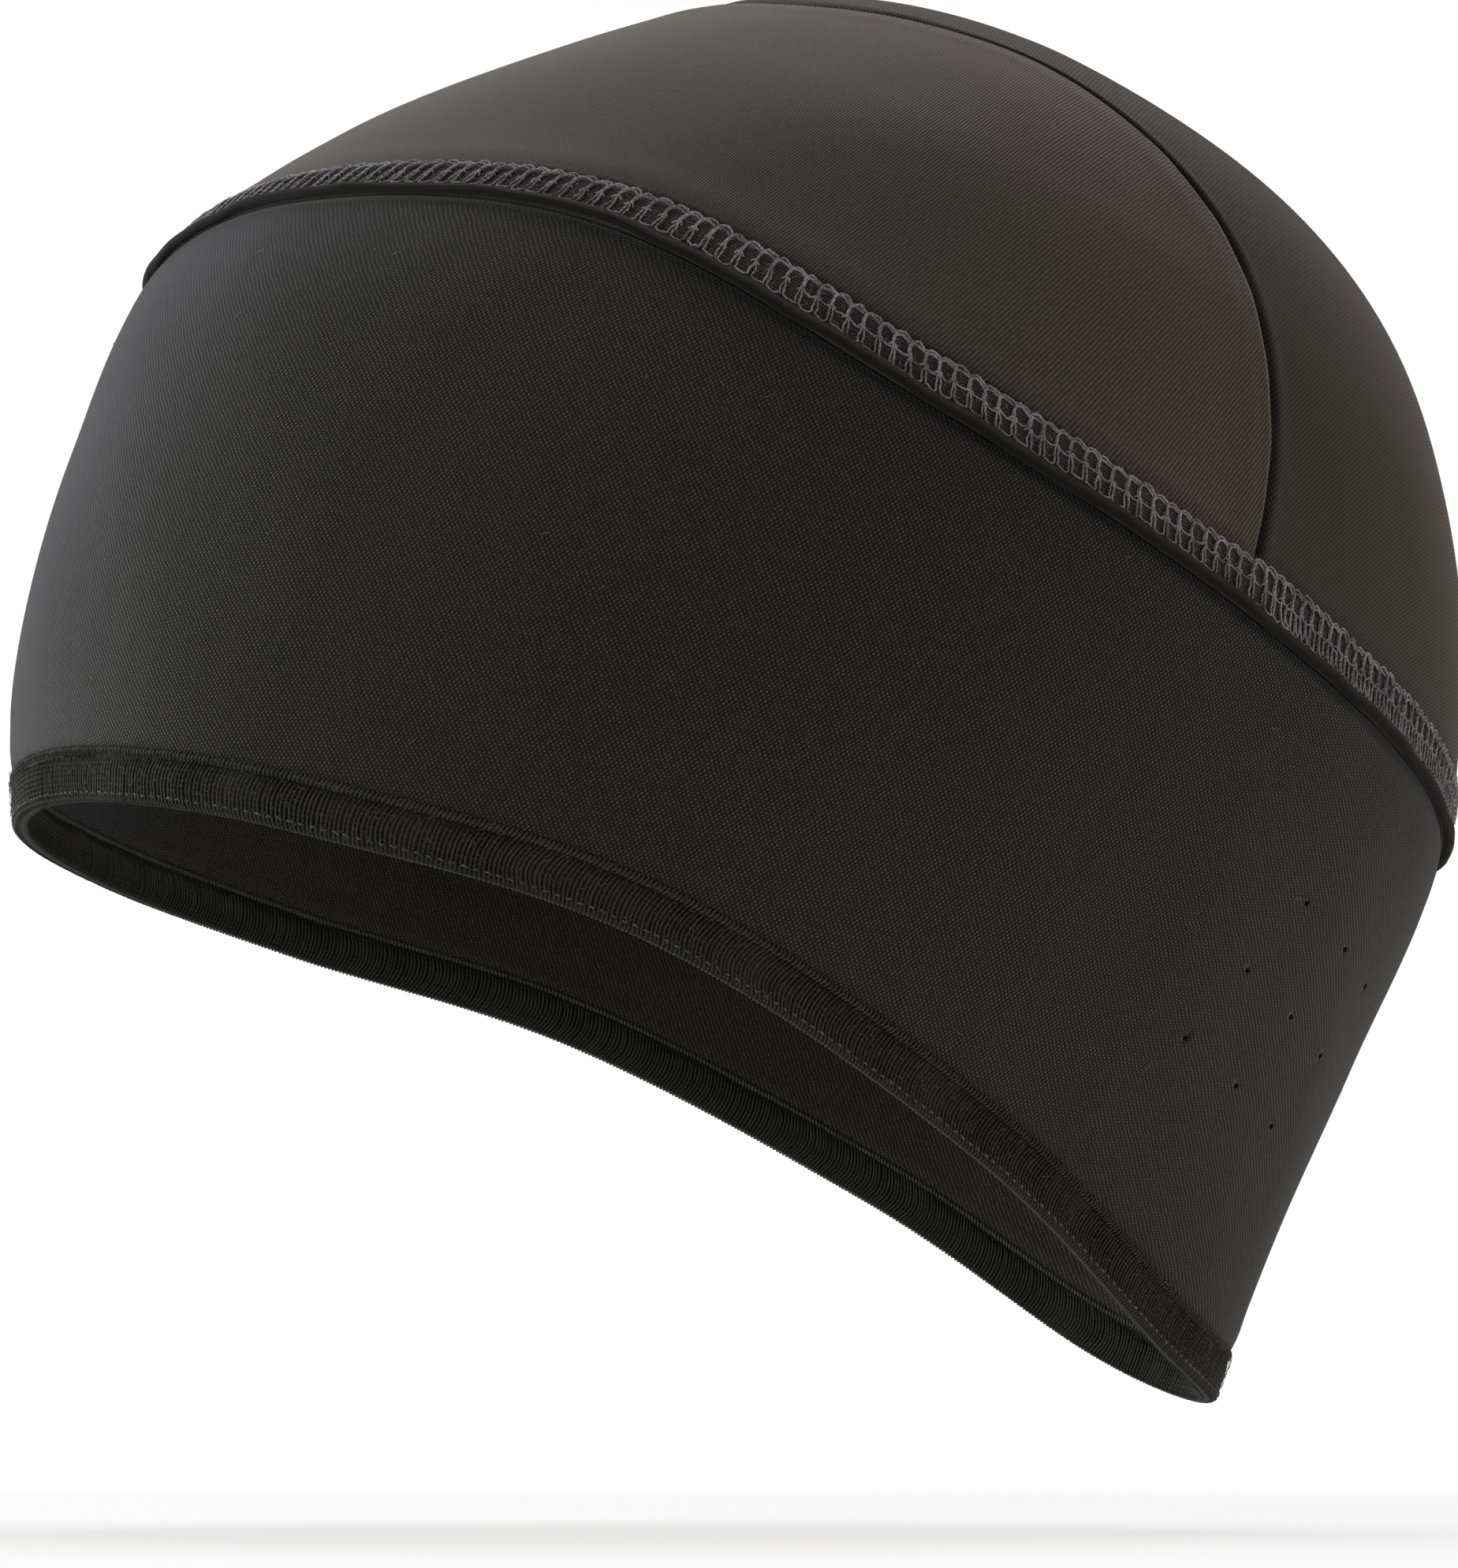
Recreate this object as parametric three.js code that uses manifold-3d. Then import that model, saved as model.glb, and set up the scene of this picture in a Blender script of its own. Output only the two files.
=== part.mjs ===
import * as THREE from 'three';
import { mergeVertices } from 'three/addons/utils/BufferGeometryUtils.js';
import Module from 'manifold-3d';

// Sports beanie, in millimetres. The cap is drawn level on its rim, front towards -Y and the wearer's left
// towards +X, and then tipped back as it is worn. The origin is the highest point inside the crown.

// Main sizes of the cap, drawn level on its rim
const frontReach = 101;
const backReach = 101;
const halfWidth = 78;
const capHeight = 159;
const wearTilt = 25;

// Cloth, hems and seams
const clothWall = 1.5;
const rimBandHeight = 7;
const rimBandWall = 2.2;
const rimBandProud = 0.3;
const foldHeight = 7.2;
const foldLipProud = 1.3;
const foldStripProud = 0.4;
const seamTuck = 0.6;
const seamGap = 0.3;

// Vent holes, one skewed grid behind each ear
const ventDiameter = 0.9;
const ventRows = 3;
const ventColumns = 3;
const ventRowPitch = 12;
const ventColumnPitch = 14;
const ventFirstBearing = 134;
const ventFirstHeight = 31.5;
const ventLeanPerRow = 3.3;
const ventDropPerColumn = 1.3;
const ventReachThrough = 3;

// Fineness of the faceted cloth
const bearingSteps = 88;
const bandRows = 7;
const panelColumns = 38;
const frontPanelRows = 11;
const backPanelRows = 8;
const ventSides = 8;

// Level sections from below the rim to the crown's top. The level is a share of capHeight, front, back and
// side are shares of the three reaches, and pinch narrows the plan towards the nape.
const sections = [
  { level: -0.12, front: 0.76, back: 1.01, side: 0.80, pinch: 0.38 },
  { level: 0.08, front: 0.93, back: 0.99, side: 0.88, pinch: 0.30 },
  { level: 0.28, front: 1.00, back: 0.99, side: 0.97, pinch: 0.22 },
  { level: 0.46, front: 1.01, back: 0.99, side: 1.00, pinch: 0.15 },
  { level: 0.62, front: 0.88, back: 0.92, side: 0.99, pinch: 0.10 },
  { level: 0.76, front: 0.69, back: 0.80, side: 0.94, pinch: 0.06 },
  { level: 0.87, front: 0.50, back: 0.64, side: 0.78, pinch: 0.03 },
  { level: 0.95, front: 0.29, back: 0.43, side: 0.44, pinch: 0.00 },
  { level: 1.00, front: 0.00, back: 0.00, side: 0.00, pinch: 0.00 },
];

// Height of the rim and of the join between band and crown, as shares of capHeight, round the head from the
// forehead at bearing 0 past the ear at 90 to the nape at 180.
const edges = [
  { bearing: 0, rim: -0.039, join: 0.449 },
  { bearing: 30, rim: -0.022, join: 0.503 },
  { bearing: 60, rim: 0.013, join: 0.553 },
  { bearing: 90, rim: 0.052, join: 0.528 },
  { bearing: 120, rim: 0.026, join: 0.516 },
  { bearing: 150, rim: -0.030, join: 0.504 },
  { bearing: 180, rim: -0.039, join: 0.486 },
];

// The seam between the two crown panels, from the middle of the crown out to the join on the left side. It
// is drawn on a flat map of the dome, where the distance from the middle is 0 at the top and 1 at domeBase.
const domeBase = 0.314;
const crownSeam = [
  { across: 0.00, back: -0.42 },
  { across: 0.18, back: -0.39 },
  { across: 0.32, back: -0.30 },
  { across: 0.385, back: -0.15 },
  { across: 0.41, back: 0.02 },
  { across: 0.465, back: 0.18 },
  { across: 0.55, back: 0.30 },
  { across: 0.65, back: 0.385 },
  { across: 0.78, back: 0.44 },
];

// Outlines of the two thick edges, going round each section: up is a share of the piece's height, out is a
// share of its proudness outside the cloth and inside a share of its wall within the cloth.
const rimOutline = [
  { up: 0.00, out: 0, inside: 0.3 },
  { up: 0.12, out: 1, inside: 0 },
  { up: 0.50, out: 1, inside: 0 },
  { up: 0.88, out: 1, inside: 0 },
  { up: 1.00, out: 0, inside: 0.1 },
  { up: 1.00, out: 0, inside: 0.85 },
  { up: 0.50, out: 0, inside: 1 },
  { up: 0.00, out: 0, inside: 0.85 },
];
const foldOutline = [
  { up: 0.00, lip: 0.2, strip: 0, inside: 0 },
  { up: 0.06, lip: 0.8, strip: 0, inside: 0 },
  { up: 0.16, lip: 1, strip: 0, inside: 0 },
  { up: 0.27, lip: 0.7, strip: 0, inside: 0 },
  { up: 0.36, lip: 0, strip: 1, inside: 0 },
  { up: 0.92, lip: 0, strip: 1, inside: 0 },
  { up: 1.00, lip: 0, strip: 0, inside: 0 },
  { up: 1.00, lip: 0, strip: 0, inside: 1 },
  { up: 0.50, lip: 0, strip: 0, inside: 1 },
  { up: 0.00, lip: 0, strip: 0, inside: 1 },
];

// Cloth colours
const bandMaterial = new THREE.MeshStandardMaterial({ color: 0x2b2a2b, roughness: 0.85, metalness: 0 });
const crownMaterial = new THREE.MeshStandardMaterial({ color: 0x3a3532, roughness: 0.9, metalness: 0 });
const edgeMaterial = new THREE.MeshStandardMaterial({ color: 0x333131, roughness: 0.95, metalness: 0 });

const degrees = Math.PI / 180;
const quarterTurn = 90;
const halfTurn = 180;
const tinyAngle = 0.05;
const tinyHeight = 0.05;

// A smooth curve through the rows of a table, with its slopes taken from the neighbouring rows
function smooth(rows, key, column, at) {
  const last = rows.length - 2;
  let i = 0;
  while (i < last && at > rows[i + 1][key]) i += 1;
  const slopeOf = (k) => (rows[k + 1][column] - rows[k][column]) / (rows[k + 1][key] - rows[k][key]);
  const tangentAt = (k) => {
    if (k === 0) return slopeOf(0);
    if (k === rows.length - 1) return slopeOf(k - 1);
    const before = rows[k][key] - rows[k - 1][key];
    const after = rows[k + 1][key] - rows[k][key];
    return (slopeOf(k - 1) * after + slopeOf(k) * before) / (before + after);
  };
  const span = rows[i + 1][key] - rows[i][key];
  const t = (at - rows[i][key]) / span;
  const rest = 1 - t;
  const start = (1 + 2 * t) * rest * rest * rows[i][column] + t * rest * rest * span * tangentAt(i);
  const end = t * t * (3 - 2 * t) * rows[i + 1][column] - t * t * rest * span * tangentAt(i + 1);
  return start + end;
}

// Reaches are smoothed as squares, so that the dome closes round at its top
const squaredSections = sections.map((row) => ({
  level: row.level,
  front: row.front ** 2,
  back: row.back ** 2,
  side: row.side ** 2,
  pinch: row.pinch,
}));
const reachShare = (column, level) =>
  Math.sqrt(Math.max(smooth(squaredSections, 'level', column, level), 0));

// Mirrored rows keep the edge heights level at the forehead and at the nape
const mirrored = (rows, key, end) => {
  const before = { ...rows[1], [key]: -rows[1][key] };
  const after = { ...rows[rows.length - 2], [key]: 2 * end - rows[rows.length - 2][key] };
  return [before, ...rows, after];
};
const edgeRows = mirrored(edges, 'bearing', halfTurn);

function edgeHeight(column, bearing) {
  const turned = Math.abs(((bearing + 3 * halfTurn) % (2 * halfTurn)) - halfTurn);
  return capHeight * smooth(edgeRows, 'bearing', column, turned);
}
const rimHeight = (bearing) => edgeHeight('rim', bearing);
const joinHeight = (bearing) => edgeHeight('join', bearing);

// The outside of the cloth at a bearing in degrees and a height above the level of the rim
function clothPoint(bearing, height) {
  const level = Math.min(height / capHeight, 1);
  const ahead = Math.cos(bearing * degrees);
  const aside = Math.sin(bearing * degrees);
  const reach = ahead > 0 ? frontReach * reachShare('front', level) : backReach * reachShare('back', level);
  const width = halfWidth * reachShare('side', level);
  const pinch = smooth(squaredSections, 'level', 'pinch', level);
  return new THREE.Vector3(width * aside * (1 + pinch * ahead), -reach * ahead, height);
}

function climbRate(bearing, height) {
  const low = clothPoint(bearing, height - tinyHeight);
  const high = clothPoint(bearing, height + tinyHeight);
  return high.sub(low).divideScalar(2 * tinyHeight);
}

function clothNormal(bearing, height) {
  const safe = Math.min(height, capHeight - 2 * tinyHeight);
  const round = clothPoint(bearing + tinyAngle, safe).sub(clothPoint(bearing - tinyAngle, safe));
  return round.cross(climbRate(bearing, safe)).normalize();
}

// A point of the cloth moved outwards by proud, or inwards where proud is negative
function shellPoint(bearing, height, proud) {
  return clothPoint(bearing, height).addScaledVector(clothNormal(bearing, height), proud);
}

// The height reached after walking up the cloth from a given height
function climb(bearing, height, distance) {
  return height + distance / climbRate(bearing, height).length();
}

const rimTop = (bearing) => climb(bearing, rimHeight(bearing), rimBandHeight);
const bandBottom = (bearing) => climb(bearing, rimTop(bearing), seamGap);
const foldBottom = (bearing) => climb(bearing, joinHeight(bearing), seamGap);
const foldTop = (bearing) => climb(bearing, foldBottom(bearing), foldHeight);
const crownBottom = (bearing) => climb(bearing, foldTop(bearing), seamGap);

// The flat map of the dome
const domeRise = 1 - domeBase;
function mapDistance(height) {
  const rise = (height / capHeight - domeBase) / domeRise;
  return Math.acos(Math.min(rise, 1)) / (quarterTurn * degrees);
}
function mapPoint(bearing, height) {
  const distance = mapDistance(height);
  return new THREE.Vector2(distance * Math.sin(bearing * degrees), -distance * Math.cos(bearing * degrees));
}
function fromMap(point) {
  const bearing = Math.atan2(point.x, -point.y) / degrees;
  const height = capHeight * (domeBase + domeRise * Math.cos(point.length() * quarterTurn * degrees));
  return { bearing, height };
}

// The crown seam on the map, at a share from the middle out to the side, and its two sewn edges
const seamRows = crownSeam.map((row, i) => ({ ...row, step: i }));
const seamStart = { across: -seamRows[1].across, back: seamRows[1].back, step: -1 };
const seamCurve = [seamStart, ...seamRows];
const lastStep = crownSeam.length - 1;
const mapUnit = 0.78 * capHeight;
const tinyShare = 0.01;

function seamMiddle(share) {
  const step = Math.abs(share) * lastStep;
  const across = smooth(seamCurve, 'step', 'across', step);
  return new THREE.Vector2(Math.sign(share) * across, smooth(seamCurve, 'step', 'back', step));
}
function seamPoint(share, shift) {
  const along = seamMiddle(share + tinyShare).sub(seamMiddle(share - tinyShare)).normalize();
  const backwards = new THREE.Vector2(-along.y, along.x);
  return seamMiddle(share).addScaledVector(backwards, shift / mapUnit);
}

// The share of the seam at which its sewn edge reaches the bottom of the crown
function seamEnd(shift) {
  let inside = 0;
  let outside = 1;
  const halvings = 40;
  for (let i = 0; i < halvings; i += 1) {
    const middle = (inside + outside) / 2;
    const { bearing, height } = fromMap(seamPoint(middle, shift));
    if (height > crownBottom(bearing)) inside = middle;
    else outside = middle;
  }
  return inside;
}

// Solids from grids of points
function closedMesh(name, points, triangles, material) {
  const solid = triangles.filter(([a, b, c]) => a !== b && b !== c && c !== a);
  let volume = 0;
  for (const [a, b, c] of solid) volume += points[a].dot(points[b].clone().cross(points[c]));
  const facing = volume > 0 ? solid : solid.map(([a, b, c]) => [a, c, b]);
  const geometry = new THREE.BufferGeometry();
  geometry.setAttribute('position', new THREE.Float32BufferAttribute(points.flatMap((p) => p.toArray()), 3));
  geometry.setIndex(facing.flat());
  const mesh = new THREE.Mesh(geometry, material);
  mesh.name = name;
  return mesh;
}

// A ring round the head whose section is a closed outline, each of its points given by up and proud
function ringMesh(name, bottom, top, outline, material) {
  const points = [];
  const triangles = [];
  const count = outline.length;
  for (let i = 0; i < bearingSteps; i += 1) {
    const bearing = (i / bearingSteps) * 2 * halfTurn;
    const low = bottom(bearing);
    const high = top(bearing);
    const next = (i + 1) % bearingSteps;
    outline.forEach(({ up, proud }, j) => {
      points.push(shellPoint(bearing, low + (high - low) * up, proud));
      const a = i * count + j;
      const b = i * count + ((j + 1) % count);
      const c = next * count + ((j + 1) % count);
      const d = next * count + j;
      triangles.push([a, b, c], [a, c, d]);
    });
  }
  return closedMesh(name, points, triangles, material);
}

// The outline of a plain wall with a number of rows on each face
function wallOutline(rows, wall) {
  const face = Array.from({ length: rows + 1 }, (_, i) => i / rows);
  const outer = face.map((up) => ({ up, proud: 0 }));
  const inner = face.toReversed().map((up) => ({ up, proud: -wall }));
  return [...outer, ...inner];
}

// A crown panel between the bottom of the crown and the seam. Both edges meet in a corner at each end, so
// the first and the last column of the grid are a single point.
function crownPanel(name, up, isFront) {
  const along = panelColumns;
  const shift = (isFront ? -seamGap : seamGap) / 2;
  const end = seamEnd(shift);
  const corner = fromMap(seamPoint(end, shift)).bearing;
  const firstBearing = isFront ? -corner : corner;
  const sweep = isFront ? 2 * corner : 2 * (halfTurn - corner);
  const firstShare = isFront ? -end : end;
  const place = (i, j) => {
    const u = i / along;
    const v = j / up;
    const bearing = firstBearing + sweep * u;
    const low = mapPoint(bearing, crownBottom(bearing));
    const high = seamPoint(firstShare * (1 - 2 * u), shift);
    return fromMap(low.lerp(high, v));
  };
  const points = [];
  const index = [];
  for (const depth of [0, clothWall]) {
    const layer = [];
    for (let i = 0; i <= along; i += 1) {
      const isCorner = i === 0 || i === along;
      const column = [];
      for (let j = 0; j <= up; j += 1) {
        const tuck = j === up || isCorner ? seamTuck : 0;
        if (!(isCorner && j > 0)) {
          const { bearing, height } = place(i, j);
          points.push(shellPoint(bearing, height, -depth - tuck));
        }
        column.push(points.length - 1);
      }
      layer.push(column);
    }
    index.push(layer);
  }
  const [outer, inner] = index;
  const triangles = [];
  const quad = (a, b, c, d) => triangles.push([a, b, c], [a, c, d]);
  for (let i = 0; i < along; i += 1) {
    for (let j = 0; j < up; j += 1) {
      quad(outer[i][j], outer[i + 1][j], outer[i + 1][j + 1], outer[i][j + 1]);
      quad(inner[i][j + 1], inner[i + 1][j + 1], inner[i + 1][j], inner[i][j]);
    }
    quad(inner[i][0], inner[i + 1][0], outer[i + 1][0], outer[i][0]);
    quad(outer[i][up], outer[i + 1][up], inner[i + 1][up], inner[i][up]);
  }
  return closedMesh(name, points, triangles, crownMaterial);
}

// Joins and cuts
const wasm = await Module();
wasm.setup();

function toSolid(geometry) {
  const bare = geometry.clone();
  bare.deleteAttribute('normal');
  bare.deleteAttribute('uv');
  const merged = mergeVertices(bare);
  const vertProperties = new Float32Array(merged.attributes.position.array);
  const triVerts = new Uint32Array(merged.index.array);
  return new wasm.Manifold(new wasm.Mesh({ numProp: 3, vertProperties, triVerts }));
}

function toGeometry(solid) {
  const mesh = solid.getMesh();
  const geometry = new THREE.BufferGeometry();
  geometry.setAttribute('position', new THREE.Float32BufferAttribute(mesh.vertProperties, 3));
  geometry.setIndex(Array.from(mesh.triVerts));
  return geometry;
}

// One round pin through the band for each vent hole
function ventPins() {
  const pins = [];
  const length = 2 * (clothWall + ventReachThrough);
  const pinAxis = new THREE.Vector3(0, 1, 0);
  const pitchBearing = ventColumnPitch / clothPoint(ventFirstBearing, ventFirstHeight).length() / degrees;
  for (const side of [-1, 1]) {
    for (let row = 0; row < ventRows; row += 1) {
      for (let column = 0; column < ventColumns; column += 1) {
        const bearing = side * (ventFirstBearing + column * pitchBearing + row * ventLeanPerRow);
        const height = ventFirstHeight + row * ventRowPitch - column * ventDropPerColumn;
        const pin = new THREE.CylinderGeometry(ventDiameter / 2, ventDiameter / 2, length, ventSides);
        const turn = new THREE.Quaternion().setFromUnitVectors(pinAxis, clothNormal(bearing, height));
        pin.applyQuaternion(turn);
        pin.translate(...shellPoint(bearing, height, -clothWall / 2).toArray());
        pins.push(toSolid(pin));
      }
    }
  }
  return pins;
}

// Band: the wide strip round the head, from the hem up to the crown's folded edge
const band = ringMesh('band', bandBottom, joinHeight, wallOutline(bandRows, clothWall), bandMaterial);
let bandSolid = toSolid(band.geometry);
for (const pin of ventPins()) bandSolid = bandSolid.subtract(pin);
band.geometry = toGeometry(bandSolid);

// Rim hem: the narrow double band sewn round the open edge
const rimSection = rimOutline.map(({ up, out, inside }) => ({
  up,
  proud: rimBandProud * out - rimBandWall * inside,
}));
const rimHem = ringMesh('rim_hem', rimHeight, rimTop, rimSection, edgeMaterial);

// Crown fold: the crown's folded lower edge, a round lip over the band below a flat stitched strip
const foldSection = foldOutline.map(({ up, lip, strip, inside }) => ({
  up,
  proud: foldLipProud * lip + foldStripProud * strip - clothWall * inside,
}));
const crownFold = ringMesh('crown_fold', foldBottom, foldTop, foldSection, edgeMaterial);

// Crown panels on both sides of the seam over the head
const crownFront = crownPanel('crown_front', frontPanelRows, true);
const crownBack = crownPanel('crown_back', backPanelRows, false);

// Tip the cap back and put the highest point inside the crown at the origin
const cap = new THREE.Group();
cap.add(band, rimHem, crownFold, crownFront, crownBack);
cap.rotation.x = -wearTilt * degrees;
cap.updateMatrix();

const inside = new THREE.Vector3(0, 0, -Infinity);
const topSteps = 400;
for (let i = 0; i <= topSteps; i += 1) {
  const { bearing, height } = fromMap(new THREE.Vector2(0, i / topSteps - 0.5));
  const point = shellPoint(bearing, height, -clothWall).applyMatrix4(cap.matrix);
  if (point.z > inside.z) inside.copy(point);
}
cap.position.set(0, -inside.y, -inside.z);

const beanie = new THREE.Group();
beanie.add(cap);

export default beanie;
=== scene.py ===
# Sports beanie: the looks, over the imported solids. Shapes are worked out in millimetres on the level cap and
# are tipped back, moved and turned into metres when a mesh is made.

import math

import bpy
import numpy as np
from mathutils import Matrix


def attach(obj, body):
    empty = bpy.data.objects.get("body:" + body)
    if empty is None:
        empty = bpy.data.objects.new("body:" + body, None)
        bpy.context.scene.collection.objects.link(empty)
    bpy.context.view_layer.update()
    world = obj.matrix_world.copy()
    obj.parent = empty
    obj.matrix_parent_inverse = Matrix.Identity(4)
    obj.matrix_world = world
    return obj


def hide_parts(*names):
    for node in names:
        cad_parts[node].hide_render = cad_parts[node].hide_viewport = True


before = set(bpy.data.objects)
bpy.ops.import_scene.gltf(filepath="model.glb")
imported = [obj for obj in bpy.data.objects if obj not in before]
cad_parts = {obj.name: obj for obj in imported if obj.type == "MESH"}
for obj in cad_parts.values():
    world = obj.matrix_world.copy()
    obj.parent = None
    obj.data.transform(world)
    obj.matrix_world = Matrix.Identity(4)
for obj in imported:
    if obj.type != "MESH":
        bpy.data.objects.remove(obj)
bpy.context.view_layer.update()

MM = 0.001
BODY = "root"
random = np.random.default_rng(7)

# Main sizes of the cap, drawn level on its rim, in millimetres
FRONT_REACH = 101
BACK_REACH = 101
HALF_WIDTH = 78
CAP_HEIGHT = 159
WEAR_TILT = math.radians(25)
CLOTH_WALL = 1.5
RIM_HEIGHT = 7
FOLD_HEIGHT = 7.2
FOLD_STRIP = 0.4
SEAM_GAP = 0.3

# Vent holes, one skewed grid behind each ear
VENT_DIAMETER = 0.9
VENT_ROWS = 3
VENT_COLUMNS = 3
VENT_ROW_PITCH = 12
VENT_COLUMN_PITCH = 14
VENT_FIRST_BEARING = 134
VENT_FIRST_HEIGHT = 31.5
VENT_LEAN = 3.3
VENT_DROP = 1.3
VENT_SIDES = 14
VENT_CUT_LENGTH = 8.0

# Camera, which looks from the wearer's left and a little from below. Its near and far limits are in metres.
CAMERA_AZIMUTH = math.radians(83.16)
CAMERA_ELEVATION = math.radians(-8.93)
CAMERA_DISTANCE = 600
CAMERA_AIM = (0, -20.32, -108.99)
CAMERA_LENS = 96.77
CAMERA_SENSOR = 36
CAMERA_NEAR = 0.01
CAMERA_FAR = 20
FLOOR_BELOW_CAMERA = 12

# Steps of the work: a short way for slopes, in degrees or millimetres, halvings of a search, and samples
TURN = 2 * math.pi
TINY = 0.05
HALVINGS = 40
SEAT_SAMPLES = 401
LINE_SAMPLES = 3601

# Sections, columns: level as a share of the height, front, back and side as shares of the reaches, and pinch,
# which narrows the plan towards the nape
SECTIONS = np.array([
    [-0.12, 0.76, 1.01, 0.80, 0.38],
    [0.08, 0.93, 0.99, 0.88, 0.30],
    [0.28, 1.00, 0.99, 0.97, 0.22],
    [0.46, 1.01, 0.99, 1.00, 0.15],
    [0.62, 0.88, 0.92, 0.99, 0.10],
    [0.76, 0.69, 0.80, 0.94, 0.06],
    [0.87, 0.50, 0.64, 0.78, 0.03],
    [0.95, 0.29, 0.43, 0.44, 0.00],
    [1.00, 0.00, 0.00, 0.00, 0.00],
])
LEVEL, FRONT, BACK, SIDE, PINCH = range(5)

# Edges, columns: bearing, height of the rim and height of the join as shares of the cap's height
EDGES = np.array([
    [0, -0.039, 0.449],
    [30, -0.022, 0.503],
    [60, 0.013, 0.553],
    [90, 0.052, 0.528],
    [120, 0.026, 0.516],
    [150, -0.030, 0.504],
    [180, -0.039, 0.486],
])
RIM, JOIN = 1, 2

# The seam between the crown panels on the flat map of the dome, columns: across and back
DOME_BASE = 0.314
CROWN_SEAM = np.array([
    [0.00, -0.42],
    [0.18, -0.39],
    [0.32, -0.30],
    [0.385, -0.15],
    [0.41, 0.02],
    [0.465, 0.18],
    [0.55, 0.30],
    [0.65, 0.385],
    [0.78, 0.44],
])


# Smooth curves

def smooth(xs, ys, at):
    """A smooth curve through the points (xs, ys), with its slopes taken from the neighbouring points."""
    at = np.asarray(at, float)
    spans = np.diff(xs)
    slopes = np.diff(ys) / spans
    middle = (slopes[:-1] * spans[1:] + slopes[1:] * spans[:-1]) / (spans[:-1] + spans[1:])
    tangents = np.concatenate([slopes[:1], middle, slopes[-1:]])
    i = np.clip(np.searchsorted(xs, at, side="right") - 1, 0, len(xs) - 2)
    t = (at - xs[i]) / spans[i]
    start = (1 + 2 * t) * (1 - t) ** 2 * ys[i] + t * (1 - t) ** 2 * spans[i] * tangents[i]
    end = t * t * (3 - 2 * t) * ys[i + 1] + t * t * (t - 1) * spans[i] * tangents[i + 1]
    return start + end


def through(points, count, closed=False):
    """Points along a smooth curve through a few rows of numbers, evenly spaced by row."""
    points = np.asarray(points, float)
    rows = len(points)
    if closed:
        points = np.concatenate([points[-2:], points, points[:3]])
        steps = np.arange(-2, rows + 3, dtype=float)
        at = np.linspace(0, rows, count, endpoint=False)
    else:
        steps = np.arange(rows, dtype=float)
        at = np.linspace(0, rows - 1, count)
    flat = points.reshape(len(points), -1)
    curves = [smooth(steps, flat[:, k], at) for k in range(flat.shape[1])]
    return np.stack(curves, -1).reshape(count, *points.shape[1:])


# The cap's surface

def share(column, level):
    return np.sqrt(np.maximum(smooth(SECTIONS[:, LEVEL], SECTIONS[:, column] ** 2, level), 0))


def from_front(bearing):
    """Degrees between a bearing and the middle of the forehead, from 0 to 180."""
    return np.abs((np.asarray(bearing, float) + 540) % 360 - 180)


def edge_height(column, bearing):
    rows = np.concatenate([EDGES[1:2] * [-1, 1, 1], EDGES, EDGES[-2:-1] * [-1, 1, 1] + [360, 0, 0]])
    return CAP_HEIGHT * smooth(rows[:, 0], rows[:, column], from_front(bearing))


def cloth_point(bearing, height):
    level = np.minimum(np.asarray(height, float) / CAP_HEIGHT, 1)
    turn = np.radians(bearing)
    ahead, aside = np.cos(turn), np.sin(turn)
    reach = np.where(ahead > 0, FRONT_REACH * share(FRONT, level), BACK_REACH * share(BACK, level))
    pinch = smooth(SECTIONS[:, LEVEL], SECTIONS[:, PINCH], level)
    x = HALF_WIDTH * share(SIDE, level) * aside * (1 + pinch * ahead)
    return np.stack(np.broadcast_arrays(x, -reach * ahead, np.asarray(height, float)), -1)


def unit(vectors):
    return vectors / np.linalg.norm(vectors, axis=-1, keepdims=True)


def climb_vector(bearing, height):
    return (cloth_point(bearing, height + TINY) - cloth_point(bearing, height - TINY)) / (2 * TINY)


def outward(bearing, height):
    safe = np.minimum(height, CAP_HEIGHT - 2 * TINY)
    across = cloth_point(bearing + TINY, safe) - cloth_point(bearing - TINY, safe)
    return unit(np.cross(across, climb_vector(bearing, safe)))


def shell_point(bearing, height, proud):
    proud = np.asarray(proud, float)[..., None]
    return cloth_point(bearing, height) + outward(bearing, height) * proud


def climb(bearing, height, distance):
    return height + distance / np.linalg.norm(climb_vector(bearing, height), axis=-1)


def rim_bottom(bearing):
    return edge_height(RIM, bearing)


def rim_top(bearing):
    return climb(bearing, rim_bottom(bearing), RIM_HEIGHT)


def join(bearing):
    return edge_height(JOIN, bearing)


def fold_bottom(bearing):
    return climb(bearing, join(bearing), SEAM_GAP)


def fold_top(bearing):
    return climb(bearing, fold_bottom(bearing), FOLD_HEIGHT)


def crown_bottom(bearing):
    return climb(bearing, fold_top(bearing), SEAM_GAP)


# The flat map of the dome: 0 at the top, 1 at the dome's base
QUARTER = math.pi / 2
MAP_UNIT = 0.78 * CAP_HEIGHT


def to_map(bearing, height):
    rise = (np.asarray(height, float) / CAP_HEIGHT - DOME_BASE) / (1 - DOME_BASE)
    distance = np.arccos(np.clip(rise, -1, 1)) / QUARTER
    turn = np.radians(bearing)
    return np.stack([distance * np.sin(turn), -distance * np.cos(turn)], -1)


def from_map(point):
    bearing = np.degrees(np.arctan2(point[..., 0], -point[..., 1]))
    distance = np.linalg.norm(point, axis=-1)
    return bearing, CAP_HEIGHT * (DOME_BASE + (1 - DOME_BASE) * np.cos(distance * QUARTER))


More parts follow.
